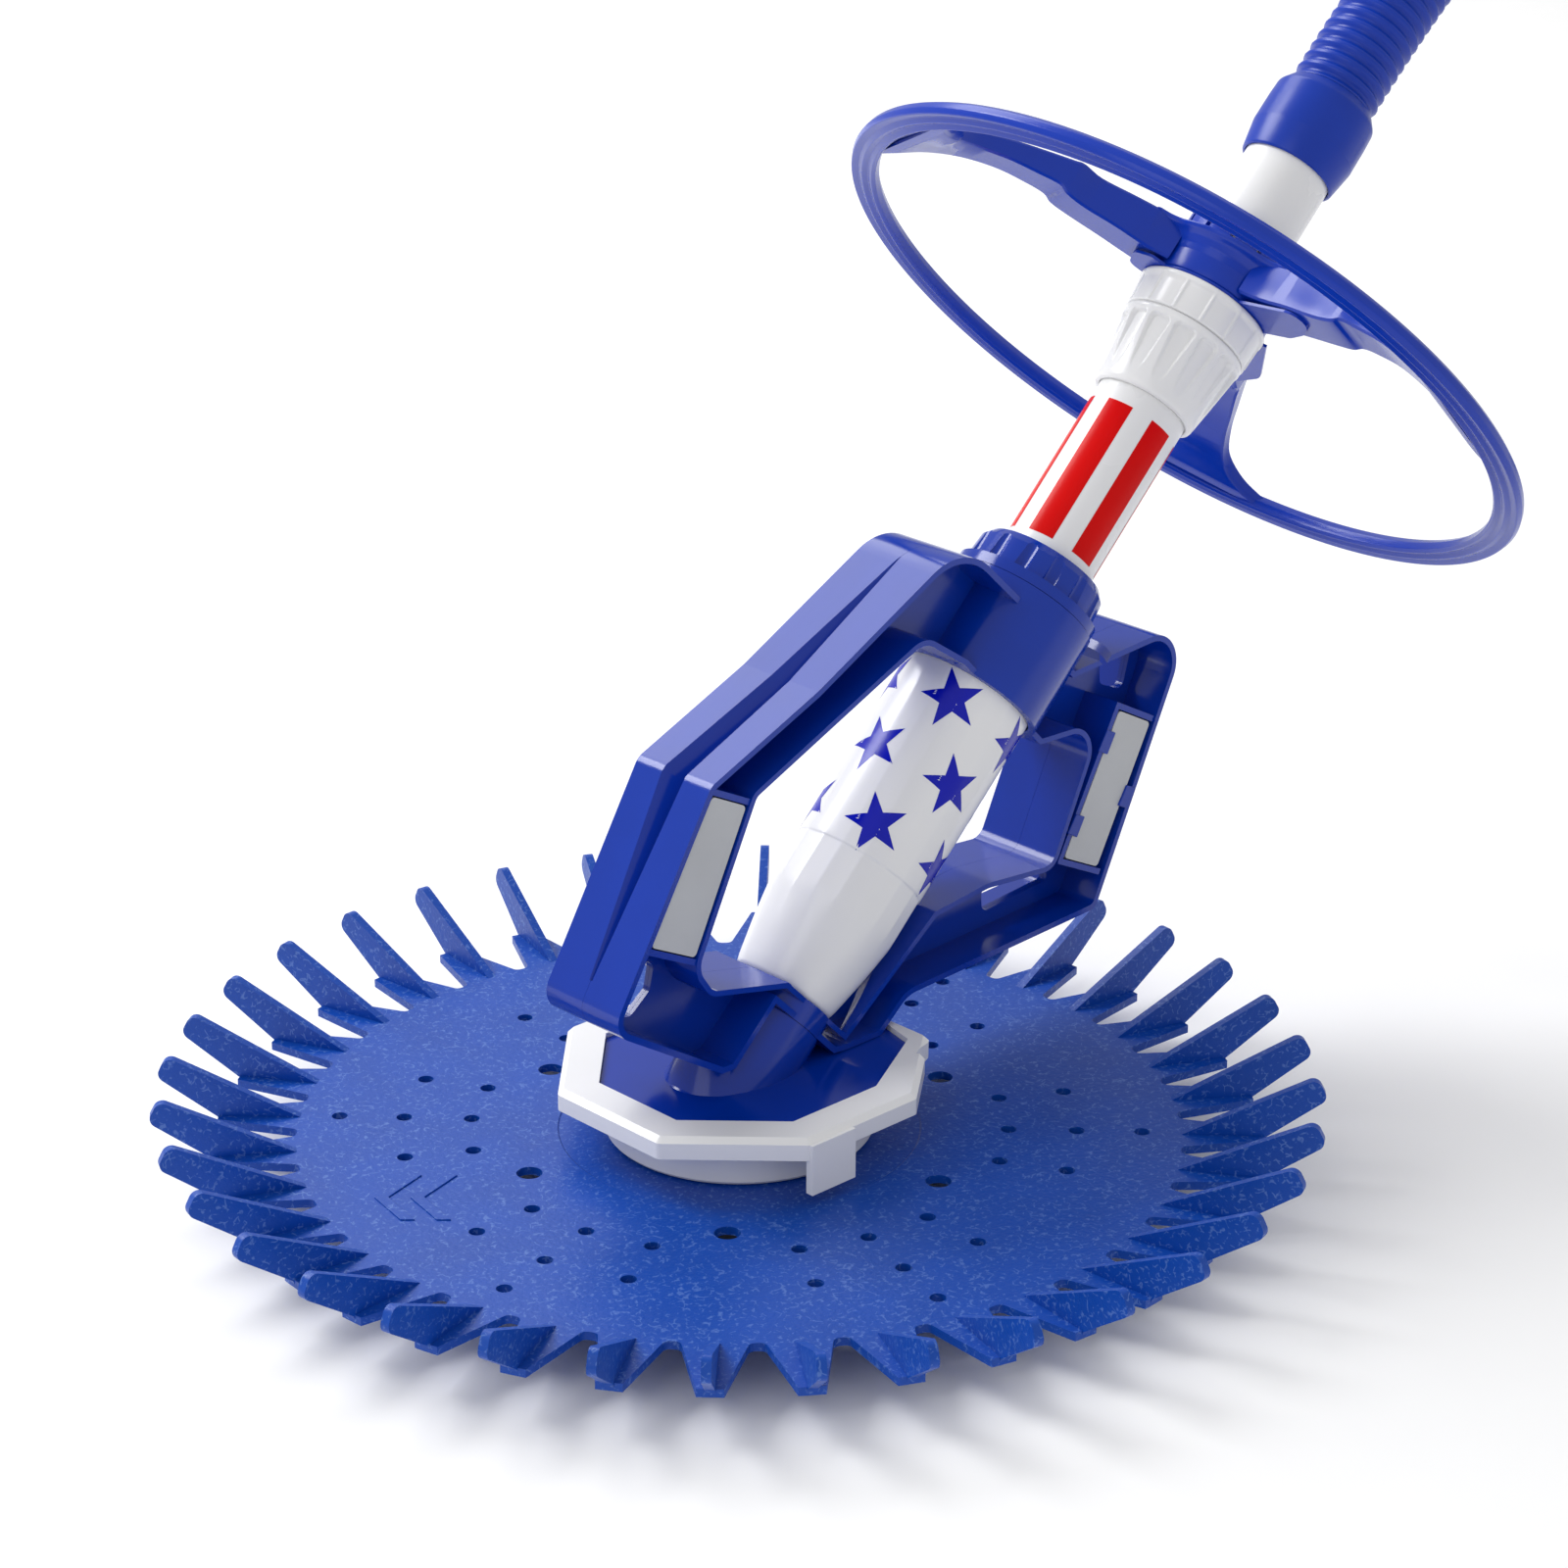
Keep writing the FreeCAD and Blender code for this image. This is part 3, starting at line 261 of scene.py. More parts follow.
gloss_blue = plastic("gloss_blue", (2, 50, 160), 0.15, variation=0.05, specular=0.42)
wheel_blue = plastic("wheel_blue", (2, 52, 172), 0.22, variation=0.05, specular=0.4)
hose_blue = plastic("hose_blue", (4, 52, 166), 0.3, variation=0.06, specular=0.35)
white = plastic("white_plastic", (240, 240, 240), 0.2, variation=0.01)
pipe_white = plastic("pipe_white", (238, 238, 238), 0.26, variation=0.01)
grey = plastic("grey_plastic", (190, 192, 194), 0.5, variation=0.04, bump=0.08)
stripe_red = plastic("stripe_red", (216, 1, 1), 0.24, variation=0.03, specular=0.15)
star_blue = plastic("star_blue", (4, 18, 176), 0.2, variation=0.04, specular=0.3)
seal_black = plastic("seal_black", (28, 28, 30), 0.6, variation=0.1)
soft_grey = plastic("soft_grey", (92, 94, 98), 0.6, variation=0.08, bump=0.08)

# Painted highlights: short pale curved streaks in the disc's colour stand in for the small glints
# of its fine skin.
GLINT_BEND = 0.006
GLINT_STRENGTH = 0.4
GLINT_COLOUR = (112, 146, 208)


def rubber_with_painted_glints():
    """Blue moulded rubber with short pale curved streaks painted into its colour: painted
    highlights for the small glints of its fine skin.
    """
    material = plastic(
        "disc_rubber", (5, 68, 165), 0.38, variation=0.06, grain=600, bump=0.35, specular=0.3
    )
    tree = material.node_tree
    link = tree.links.new
    shader = tree.nodes["Principled BSDF"]
    where = tree.nodes["Texture Coordinate"]
    ramp = tree.nodes["Color Ramp"]
    warp = add(tree, "ShaderNodeTexNoise", Scale=210.0, Detail=1.0)
    link(where.outputs["Object"], warp.inputs["Vector"])
    bend = add(tree, "ShaderNodeVectorMath", operation="MULTIPLY_ADD")
    bend.inputs[1].default_value = (GLINT_BEND, GLINT_BEND, GLINT_BEND)
    link(warp.outputs["Color"], bend.inputs[0])
    link(where.outputs["Object"], bend.inputs[2])
    cells = add(tree, "ShaderNodeTexVoronoi", feature="DISTANCE_TO_EDGE", Scale=300.0)
    link(bend.outputs["Vector"], cells.inputs["Vector"])
    line = add(tree, "ShaderNodeMapRange", From_Min=0.03, From_Max=0.1, To_Min=1.0, To_Max=0.0)
    link(cells.outputs["Distance"], line.inputs["Value"])
    patches = add(tree, "ShaderNodeTexNoise", Scale=520.0, Detail=2.0)
    link(where.outputs["Object"], patches.inputs["Vector"])
    keep = add(tree, "ShaderNodeMapRange", From_Min=0.5, From_Max=0.6)
    link(patches.outputs["Fac"], keep.inputs["Value"])
    # Painted highlights: pale streaks where the cells' edges fall in the kept patches.
    painted_glint = add(tree, "ShaderNodeMath", operation="MULTIPLY")
    link(line.outputs["Result"], painted_glint.inputs[0])
    link(keep.outputs["Result"], painted_glint.inputs[1])
    soft = add(tree, "ShaderNodeMath", operation="MULTIPLY")
    soft.inputs[1].default_value = GLINT_STRENGTH
    link(painted_glint.outputs["Value"], soft.inputs[0])
    mix = add(tree, "ShaderNodeMix", data_type="RGBA")
    link(soft.outputs["Value"], mix.inputs["Factor"])
    link(ramp.outputs["Color"], mix.inputs[6])
    mix.inputs[7].default_value = linear(GLINT_COLOUR)
    link(mix.outputs[2], shader.inputs["Base Color"])
    return material


disc_rubber = rubber_with_painted_glints()

NODE_MATERIALS = {
    "foot_pad": soft_grey,
    "finned_disc": disc_rubber,
    "foot_skirt": white,
    "foot_ring": white,
    "foot_base": gloss_blue,
    "body_half_left": gloss_blue,
    "body_half_right": gloss_blue,
    "front_float_left": grey,
    "front_float_right": grey,
    "rear_weight_left": grey,
    "rear_weight_right": grey,
    "cassette_tube": white,
    "diaphragm": soft_grey,
    "diaphragm_ring": white,
    "inner_pipe": white,
    "lower_seal": seal_black,
    "upper_seal": seal_black,
    "compression_ring": white,
    "outer_pipe": pipe_white,
    "hand_nut": gloss_blue,
    "collar_nut": white,
    "collar_ring": white,
    "wheel_clip": wheel_blue,
    "deflector_wheel": wheel_blue,
    "wheel_collet": wheel_blue,
    "hose_cuff": hose_blue,
    "hose": hose_blue,
    "end_cuff": hose_blue,
}
for node, material in NODE_MATERIALS.items():
    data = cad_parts[node].data
    data.materials.clear()
    data.materials.append(material)

# --------------------------------------------------------------------------------- hose and cuffs

# The hose's route: length of each run in mm, climb and sideways turn in degrees.
HOSE_RUNS = [
    (92, 44.36, 0),
    (112, 18, 2),
    (112, -12, -3),
    (130, -41, -7),
    (150, -64, -9),
    (130, -50, -9),
    (118, -24, -13),
    (100, -10.3, -26),
    (70, 0, -44),
]
HOSE_START = 412.0
HOSE_RADIUS = 16.75
RIDGE_PITCH = 4.9
RIDGE_DEPTH = 1.9
RIDGE_SHAPE = (1.0, 0.86, 0.4, 0.0, 0.4, 0.86)
LINE_STEPS = 40


def hose_route():
    """The corners of the hose's route, from where it leaves the cuff."""
    here = on_axis(HOSE_START, 0, 0)
    points = [here]
    for length, climb, side in HOSE_RUNS:
        up, turn = math.radians(climb), math.radians(side)
        level = math.cos(up)
        heading = Vector((level * math.cos(turn), level * math.sin(turn), math.sin(up)))
        here = here + heading * length / 1000
        points.append(here)
    return points


def smooth_line(points):
    """Points along a NURBS spline through the route, as Blender evaluates it."""
    curve = bpy.data.curves.new("hose_line", "CURVE")
    curve.dimensions = "3D"
    spline = curve.splines.new("NURBS")
    spline.points.add(len(points) - 1)
    for spot, point in zip(spline.points, points):
        spot.co = (*point, 1)
    spline.order_u = 3
    spline.use_endpoint_u = True
    spline.resolution_u = LINE_STEPS
    holder = bpy.data.objects.new("hose_line", curve)
    mesh = bpy.data.meshes.new_from_object(holder)
    line = [vertex.co.copy() for vertex in mesh.vertices]
    bpy.data.objects.remove(holder)
    return line


def even_steps(line, step):
    """The same line as evenly spaced points, and its length."""
    lengths = [0.0]
    for a, b in zip(line, line[1:]):
        lengths.append(lengths[-1] + (b - a).length)
    count = round(lengths[-1] / step)
    places, k = [], 0
    for i in range(count + 1):
        target = lengths[-1] * i / count
        while k < len(lengths) - 2 and lengths[k + 1] < target:
            k += 1
        share = (target - lengths[k]) / max(lengths[k + 1] - lengths[k], 1e-9)
        places.append(line[k].lerp(line[k + 1], share))
    return places, lengths[-1]


def headings(places):
    """The line's direction at each place."""
    ways = []
    for k in range(len(places)):
        a, b = places[max(k - 1, 0)], places[min(k + 1, len(places) - 1)]
        ways.append((b - a).normalized())
    return ways


def tube_along(name, places, radii, segments=32):
    """A tube whose radius follows radii, one for each place."""
    ways = headings(places)
    side = SIDE.copy()
    points = []
    for place, way, radius in zip(places, ways, radii):
        side = (side - way * side.dot(way)).normalized()
        up = way.cross(side)
        for k in range(segments):
            turn = 2 * math.pi * k / segments
            points.append(place + (side * math.cos(turn) + up * math.sin(turn)) * radius)
    return face_outward(mesh_from(name, points, ring_faces(len(places), segments)))


route = hose_route()
line = smooth_line(route)
places, hose_length = even_steps(line, RIDGE_PITCH / 1000 / len(RIDGE_SHAPE))
radii = [
    (HOSE_RADIUS - RIDGE_DEPTH * (1 - RIDGE_SHAPE[k % len(RIDGE_SHAPE)])) / 1000
    for k in range(len(places))
]
hose_mesh = tube_along("corrugated_hose", places, radii)
hose = new_object("corrugated_hose", hose_mesh, "base", hose_blue)
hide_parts("hose")

CUFF_START = 379.5
CUFF_LENGTH = 32.5
CUFF_PROFILE = rounded(
    [
        (17.05, 0, 0.5),
        (18.3, 0, 1.0),
        (19.3, 6, 3),
        (20.2, 11.5, 1.2),
        (20.1, 22, 4),
        (19.8, 28.4, 3),
        (16.9, CUFF_LENGTH, 1.0),
        (14.2, CUFF_LENGTH, 0.3),
        (14.2, 22, 0),
        (17.05, 22, 0),
    ]
)


def cuff_at(name, mouth, way):
    """A cuff with its open mouth at one end, facing against its way."""
    turn = Vector((0, 0, 1)).rotation_difference(way)
    place = Matrix.Translation(mouth) @ turn.to_matrix().to_4x4()
    return lathe(name, CUFF_PROFILE, place=place)


cuff = new_object(
    "cuff", cuff_at("cuff", on_axis(CUFF_START, 0, 0), ALONG), "base", hose_blue
)
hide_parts("hose_cuff")
end_way = (route[-1] - route[-2]).normalized()
end_mouth = route[-1] + end_way * CUFF_LENGTH / 1000
far_cuff = new_object(
    "far_cuff", cuff_at("far_cuff", end_mouth, -end_way), "base", hose_blue
)
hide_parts("end_cuff")

# ---------------------------------------------------------------------------- the deflector wheel

SPOKE_TURNS = (35, -85, 155)
RIM_PROFILE = rounded(
    [
        (126.4, 301.9, 0.5),
        (127.6, 300.8, 0.5),
        (129.6, 302.0, 0.6),
        (131.6, 300.8, 0.6),
        (133.4, 302.0, 0.6),
        (136.2, 301.2, 0.6),
        (137.2, 303.4, 1.0),
        (136.6, 306.0, 1.6),
        (134.2, 307.9, 1.0),
        (131.6, 308.4, 1.2),
        (128.6, 307.6, 1.2),
        (126.4, 304.8, 1.2),
    ],
    steps=3,
)
HUB_PROFILE = rounded(
    [
        (20.3, 321.0, 0),
        (24.2, 321.0, 0.5),
        (24.6, 325, 0),
        (24.6, 336.4, 1.5),
        (20.3, 338, 0.5),
    ]
)
# Along a spoke: radius, lower and upper face along the axis, half width, sideways sweep.
SPOKE_STATIONS = (
    (23.0, 322.5, 337.0, 11.6, 0.0),
    (30.0, 322.0, 336.9, 10.0, 0.0),
    (36.0, 321.6, 336.4, 9.7, 0.2),
    (45.0, 321.2, 335.0, 9.6, 0.4),
    (58.0, 320.2, 333.0, 9.0, 0.8),
    (66.0, 320.2, 333.2, 9.4, 1.2),
    (70.0, 321.4, 332.0, 9.4, 1.4),
    (78.0, 320.2, 329.6, 8.6, 2.0),
    (90.0, 317.6, 325.4, 8.4, 3.2),
    (103.0, 312.8, 319.6, 9.6, 5.4),
    (114.0, 307.4, 313.6, 14.0, 8.0),
    (122.0, 303.6, 309.0, 23.0, 9.0),
    (128.5, 302.4, 306.6, 34.0, 9.0),
)


SPOKE_LIP = 2.2
SPOKE_EDGE = 0.9
SPOKE_DIP = 0.28
SPOKE_ROUND_FROM = 110


def smooth_stations(stations, steps):
    """The same stations with more between them, on a curve through them all."""
    rows = [stations[0], *stations, stations[-1]]
    filled = []
    for a, b, c, d in zip(rows, rows[1:], rows[2:], rows[3:]):
        for k in range(steps):
            u = k / steps
            weights = (
                (-u + 2 * u**2 - u**3) / 2,
                (2 - 5 * u**2 + 3 * u**3) / 2,
                (u + 4 * u**2 - 3 * u**3) / 2,
                (-(u**2) + u**3) / 2,
            )
            columns = zip(a, b, c, d)
            filled.append(
                tuple(sum(w * value for w, value in zip(weights, column)) for column in columns)
            )
    return filled + [stations[-1]]


def spoke_mesh():
    """One spoke: a channel section with raised edges that flares into the rim.

    Beyond SPOKE_ROUND_FROM its sections are curved like the rim.
    """
    points = []
    stations = smooth_stations(SPOKE_STATIONS, 5)
    for radius, low, high, half, sweep in stations:
        lip = min(SPOKE_LIP, half * 0.25)
        dip = (high - low) * SPOKE_DIP
        outline = (
            (-half, low + 0.8),
            (-half, high - SPOKE_EDGE),
            (-half + 0.7, high),
            (-half + lip, high),
            (-half + lip + 1.2, high - dip),
            (half - lip - 1.2, high - dip),
            (half - lip, high),
            (half - 0.7, high),
            (half, high - SPOKE_EDGE),
            (half, low + 0.8),
            (half - SPOKE_EDGE, low),
            (-half + SPOKE_EDGE, low),
        )
        for across, up in outline:
            reach = radius
            if radius > SPOKE_ROUND_FROM:
                reach = math.sqrt(max(radius**2 - (across + sweep) ** 2, 1))
            points.append(Vector((reach, across + sweep, up)) / 1000)
    faces = ring_faces(len(stations), len(outline), close_ends=True)
    return face_outward(mesh_from("spoke", points, faces))


HUB_WALL = 24.4
HUB_BORE = 21.0
FLANGE_LOW, FLANGE_HIGH = 328.0, 337.4
# How much of the flange's reach is there at each height.
FLANGE_FLARE = (
    (FLANGE_LOW, 0.0),
    (331.5, 0.18),
    (334.0, 0.5),
    (335.6, 0.9),
    (336.6, 1.0),
    (337.1, 0.96),
    (FLANGE_HIGH, 0.82),
)
FLANGE_RADIUS = 29.6
WHEEL_CREASE = 38
FLANGE_FILLET = 12.0
SPOKE_HALF = 9.6


def flange_reach(turn):
    """How far the hub's top flange reaches: a circle swept into each spoke by a fillet."""
    off = min(
        abs((turn - math.radians(spoke) + math.pi) % (2 * math.pi) - math.pi)
        for spoke in SPOKE_TURNS
    )
    centre_y = SPOKE_HALF + FLANGE_FILLET
    centre_x = math.sqrt((FLANGE_RADIUS + FLANGE_FILLET) ** 2 - centre_y**2)
    if off >= math.atan2(centre_y, centre_x):
        return FLANGE_RADIUS
    if off <= math.atan2(SPOKE_HALF, centre_x):
        return centre_x / math.cos(off)
    toward = centre_x * math.cos(off) + centre_y * math.sin(off)
    left = centre_x**2 + centre_y**2 - FLANGE_FILLET**2
    return toward - math.sqrt(max(toward**2 - left, 0))


def flange_radius(s, turn):
    """The flange flares out from the hub's wall and is rounded on top."""
    return HUB_WALL + (flange_reach(turn) - HUB_WALL) * between(s, FLANGE_FLARE)


def make_wheel():
    """Hub, three swept spokes and a ridged rim, joined into one moulded piece."""
    work = bmesh.new()
    heights = steps_between(FLANGE_LOW, 335.6, 0.5) + [336.1, 336.6, 336.9, 337.1, FLANGE_HIGH]
    bore = [(HUB_BORE, FLANGE_HIGH), (HUB_BORE, FLANGE_LOW)]
    flange = polar_shell("flange", heights, flange_radius, bore, 240)
    flange.transform(LEAN.inverted())
    work.from_mesh(flange)
    for profile, segments in ((RIM_PROFILE, 256), (HUB_PROFILE, 96)):
        work.from_mesh(lathe("part", profile, segments, place=Matrix.Identity(4)))
    spoke = spoke_mesh()
    for turn in SPOKE_TURNS:
        copy = spoke.copy()
        copy.transform(Matrix.Rotation(math.radians(180 - turn), 4, "Z"))
        work.from_mesh(copy)
    bmesh.ops.transform(work, matrix=LEAN, verts=work.verts)
    mesh = bpy.data.meshes.new("moulded_wheel")
    work.to_mesh(mesh)
    work.free()
    for polygon in mesh.polygons:
        polygon.use_smooth = True
    mesh.set_sharp_from_angle(angle=math.radians(WHEEL_CREASE))
    wheel = new_object("moulded_wheel", mesh, "wheel", wheel_blue)
    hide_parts("deflector_wheel")


# The leaves of the clip under the hub: along the spoke, beside it, corner radius.
NARROW_LEAF = (
    (20.5, 8.6, 0),
    (40, 8.4, 6),
    (58.5, 8.6, 6),
    (46, -5.6, 12),
    (36, -10.2, 8),
    (20, -10.4, 0),
)
SHORT_LEAF = (
    (20.5, 8.0, 0),
    (30, 8.0, 4),
    (33.5, -4, 5),
    (28, -10.2, 3),
    (20, -10.2, 0),
)
WIDE_LEAF = (
    (10, 22, 0),
    (10, 25, 0),
    (42, 20.3, 12),
    (59.5, 6.5, 5),
    (42, -7.5, 12),
    (20, -11, 0),
    (20.5, 5, 0),
)
CLIP_LEAVES = {35: SHORT_LEAF, -85: NARROW_LEAF, 155: WIDE_LEAF}
CLIP_LOW, CLIP_HIGH = 319.6, 320.8
CLIP_BORE, CLIP_RADIUS = 17.9, 24.6
LEAF_INSET = 0.05


def make_clip():
    """Thin ring under the hub with a leaf beside each spoke."""
    work = bmesh.new()
    work.from_mesh(lathe("clip_ring", tube_section(CLIP_BORE, CLIP_RADIUS, CLIP_LOW, CLIP_HIGH)))
    for turn, leaf in CLIP_LEAVES.items():
        outline = rounded(leaf)
        bottom, top = [], []
        for along, beside in outline:
            reach = math.hypot(along, beside)
            angle = math.radians(turn) + math.atan2(beside, along)
            bottom.append(work.verts.new(on_axis(CLIP_LOW + LEAF_INSET, reach, angle)))
            top.append(work.verts.new(on_axis(CLIP_HIGH - LEAF_INSET, reach, angle)))
        work.faces.new(bottom)
        work.faces.new(list(reversed(top)))
        for k in range(len(outline)):
            following = (k + 1) % len(outline)
            work.faces.new((bottom[following], bottom[k], top[k], top[following]))
    mesh = finish_outward(work, bpy.data.meshes.new("clip_leaves"))
    clip = new_object("clip_leaves", mesh, "wheel", wheel_blue)
    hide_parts("wheel_clip")


COLLET_BORE = 17.6
SLEEVE_RADIUS = 19.8
SLEEVE_LOW, SLEEVE_HIGH = 321.0, 340.2
FINGER_COUNT = 12
FINGER_GAP = 1.9
FINGER_RADIUS = 20
FINGER_STEPS = 6
FINGER_SECTION = rounded(
    [(COLLET_BORE, 339.6, 0), (21.2, 339.6, 0.4), (20.9, 351, 0.9), (COLLET_BORE, 351, 0.4)]
)


def make_collet():
    """The wheel's bearing sleeve, with spring fingers and the gaps between them above the hub."""
    sleeve = tube_section(COLLET_BORE, SLEEVE_RADIUS, SLEEVE_LOW, SLEEVE_HIGH)
    work = bmesh.new()
    work.from_mesh(lathe("sleeve", sleeve))
    half = math.pi / FINGER_COUNT - FINGER_GAP / 2 / FINGER_RADIUS
    count = len(FINGER_SECTION)
    for k in range(FINGER_COUNT):
        middle = 2 * math.pi * (k + 0.5) / FINGER_COUNT
        rings = []
        for step in range(FINGER_STEPS + 1):
            turn = middle + half * (2 * step / FINGER_STEPS - 1)
            rings.append(
                [work.verts.new(on_axis(s, radius, turn)) for radius, s in FINGER_SECTION]
            )
        for before, after in zip(rings, rings[1:]):
            for i in range(count):
                j = (i + 1) % count
                work.faces.new((before[i], before[j], after[j], after[i]))
        work.faces.new(rings[0])
        work.faces.new(list(reversed(rings[-1])))
    mesh = finish_outward(work, bpy.data.meshes.new("collet_fingers"))
    collet = new_object("collet_fingers", mesh, "base", wheel_blue)
    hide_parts("wheel_collet")


make_wheel()
make_clip()
make_collet()

# ------------------------------------------------------------------------ cassette and wheel clamp

CASSETTE_WALL = 2.2
CASSETTE_TOP = 169.9
CASSETTE_RADIUS = 24.8
CASSETTE_RADII = (
    (28.0, 18.6),
    (31.0, 19.6),
    (45.0, 22.2),
    (60.0, 24.45),
    (63.0, 24.7),
    (170.0, CASSETTE_RADIUS),
)
PANEL_COUNT = 18
PANEL_STEP = 80
STEP_DEPTH = 0.25


def cassette_radius(s, turn):
    """The cassette's wall: round, with flat panels, deeper in the band below PANEL_STEP."""
    radius = between(s, CASSETTE_RADII)
    pitch = 2 * math.pi / PANEL_COUNT
    off_middle = abs((turn / pitch) % 1 - 0.5) * pitch
    flat = radius * (1 - math.cos(pitch / 2) / math.cos(off_middle))
    below_step = 1 - blend_in(s, PANEL_STEP - 0.4, PANEL_STEP + 0.4)
    band = blend_in(s, 60, 64) * below_step
    strength = blend_in(s, 50, 64) * (0.45 + 0.5 * band)
    return radius - flat * strength - STEP_DEPTH * below_step


cassette_heights = steps_between(CASSETTE_RADII[0][0], 79.2, 2) + steps_between(79.5, 80.5, 0.25)
cassette_heights += steps_between(82, CASSETTE_TOP - 0.6, 4)
cassette_inner = [
    (radius - CASSETTE_WALL - 0.4, s) for s, radius in reversed(CASSETTE_RADII[:-1])
]
cassette_inner.insert(0, (CASSETTE_RADIUS - CASSETTE_WALL, CASSETTE_TOP))
cassette_mesh = polar_shell(
    "panelled_cassette", cassette_heights, cassette_radius, cassette_inner, PANEL_COUNT * 12
)
cassette = new_object("panelled_cassette", cassette_mesh, "base", white)
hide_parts("cassette_tube")

CLAMP_BORE = 17.7
POCKET_COUNT = 14
POCKET_TOP, POCKET_FLOOR_END = 302.4, 284.0
POCKET_CORNER = 2.2
POCKET_START = POCKET_FLOOR_END - 4
NUT_LOW, NUT_HIGH = 275.5, 305.3
NUT_RADII = (
    (NUT_LOW, 18.9),
    (276.1, 19.6),
    (277.0, 19.95),
    (303.0, 23.6),
    (303.4, 23.9),
    (305.2, 23.9),
)
POCKET_REACH = ((POCKET_START, 1.2), (POCKET_FLOOR_END, 2.4), (303, 4.3))
POCKET_DEPTH = ((POCKET_START, 0.0), (POCKET_FLOOR_END, 0.45), (POCKET_TOP, 2.1))


def nut_radius(s, turn):
    """A cone with long tapering pockets whose tops are rounded, under a proud top band."""
    radius = between(s, NUT_RADII)
    pitch = 2 * math.pi / POCKET_COUNT
    across = abs(((turn / pitch) % 1) - 0.5) * pitch * radius
    reach = between(s, POCKET_REACH)
    beside, above = across - (reach - POCKET_CORNER), s - (POCKET_TOP - POCKET_CORNER)
    if beside > 0 and above > 0:
        inside = POCKET_CORNER - math.hypot(beside, above)
    else:
        inside = min(reach - across, POCKET_TOP - s)
    return radius - between(s, POCKET_DEPTH) * blend_in(inside, -0.35, 0.45)


nut_heights = [NUT_LOW, 276.1, 277.0] + steps_between(278, 299, 1.0)
nut_heights += steps_between(299.4, 303.0, 0.3) + [303.4, 304.6, 305.2]
nut_bore = [(CLAMP_BORE, NUT_HIGH), (CLAMP_BORE, NUT_LOW)]
nut_mesh = polar_shell("clamp_nut", nut_heights, nut_radius, nut_bore, POCKET_COUNT * 30)
nut = new_object("clamp_nut", nut_mesh, "collar_nut", white)
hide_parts("collar_nut")

RING_LOW, RING_HIGH = 305.7, 319.4
RING_RADII = (
    (RING_LOW, 24.0),
    (306.1, 24.3),
    (316.9, 24.75),
    (317.3, 25.35),
    (318.9, 25.4),
    (RING_HIGH, 25.0),
)
RING_RIBS = 14
RIB_LOW, RIB_HIGH = 306.0, 317.1
RIB_REACH = 25.35
RIB_HALF = 0.55
RIB_HEIGHT = 0.5


def ring_radius(s, turn):
    """The clamp's upper ring: a thin lip on top and fine upright ribs."""
    radius = between(s, RING_RADII)
    pitch = 2 * math.pi / RING_RIBS
    across = abs(((turn / pitch + 0.25) % 1) - 0.5) * pitch * radius
    rib = RIB_HEIGHT * (1 - blend_in(across, RIB_HALF - 0.3, RIB_HALF + 0.3))
    return max(radius, min(radius + rib, RIB_REACH)) if RIB_LOW < s < RIB_HIGH else radius


ring_heights = [RING_LOW, 305.9, 306.1] + steps_between(306.4, 316.9, 1.5)
ring_heights += [317.3, 318.9, RING_HIGH]
ring_bore = [(CLAMP_BORE, RING_HIGH), (CLAMP_BORE, RING_LOW)]
ring_mesh = polar_shell("clamp_ring", ring_heights, ring_radius, ring_bore, RING_RIBS * 40)
clamp_ring = new_object("clamp_ring", ring_mesh, "base", white)
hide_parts("collar_ring")

# ------------------------------------------------------------------------------- printed patterns

STRIPE_COUNT = 6
STRIPE_WIDTH = 33.4
STRIPE_FIRST = -16.9
STRIPE_LOW, STRIPE_HIGH = 212.0, 268.2
PIPE_RADIUS = 17.35
PRINT_LIFT = 0.06
STAR_SIZE = 11.6
STAR_WAIST = 0.4
STAR_MIDDLE = 0.002
STAR_TILT = 31
STAR_TURN, STAR_PITCH = -34.5, 38
# The stars' heights in the even and the odd columns.
STAR_HEIGHTS = ((91, 142.5), (116.7,))


def print_patch(name, shapes, radius_at, body, material):
    """Printed shapes on a round wall, each a grid of (s, degrees) points."""
    points, faces = [], []
    for shape in shapes:
        start = len(points)
        rows, columns = len(shape), len(shape[0])
        for row in shape:
            for s, degrees in row:
                turn = math.radians(degrees)
                points.append(on_axis(s, radius_at(s, turn) + PRINT_LIFT, turn))
        for i in range(rows - 1):
            for k in range(columns - 1):
                a = start + i * columns + k
                faces.append((a, a + 1, a + columns + 1, a + columns))
    mesh = mesh_from(name, points, faces)
    return new_object(name, mesh, body, material)


def pipe_radius(s, turn):
    """The pipe is plain and round where the stripes are."""
    return PIPE_RADIUS


def stripe_patch(middle):
    """One stripe as a grid that is fine enough round the pipe to follow it."""
    steps = 16
    turns = [middle + STRIPE_WIDTH * (k / steps - 0.5) for k in range(steps + 1)]
    return [[(STRIPE_LOW, turn) for turn in turns], [(STRIPE_HIGH, turn) for turn in turns]]


def star_patches(s, turn, size, tilt):
    """A five-pointed star as ten triangles from its middle, each a grid that follows the wall.

    A grid starts just off the middle, because its first row would shrink to one point there.
    """
    patches, corner, steps = [], [], 6
    for k in range(11):
        reach = size if k % 2 == 0 else size * STAR_WAIST
        angle = math.radians(tilt + 36 * k)
        corner.append((reach * math.cos(angle), reach * math.sin(angle)))
    for k in range(10):
        (x0, y0), (x1, y1) = corner[k], corner[k + 1]
        patch = []
        for i in range(steps + 1):
            share = STAR_MIDDLE + (1 - STAR_MIDDLE) * i / steps
            row = []
            for j in range(steps + 1):
                x = (x0 + (x1 - x0) * j / steps) * share
                y = (y0 + (y1 - y0) * j / steps) * share
                row.append((s + x, turn + math.degrees(y / CASSETTE_RADIUS)))
            patch.append(row)
        patches.append(patch)
    return patches


stripes = [stripe_patch(STRIPE_FIRST - 360 / STRIPE_COUNT * k) for k in range(STRIPE_COUNT)]
print_patch("red_stripes", stripes, pipe_radius, "base", stripe_red)

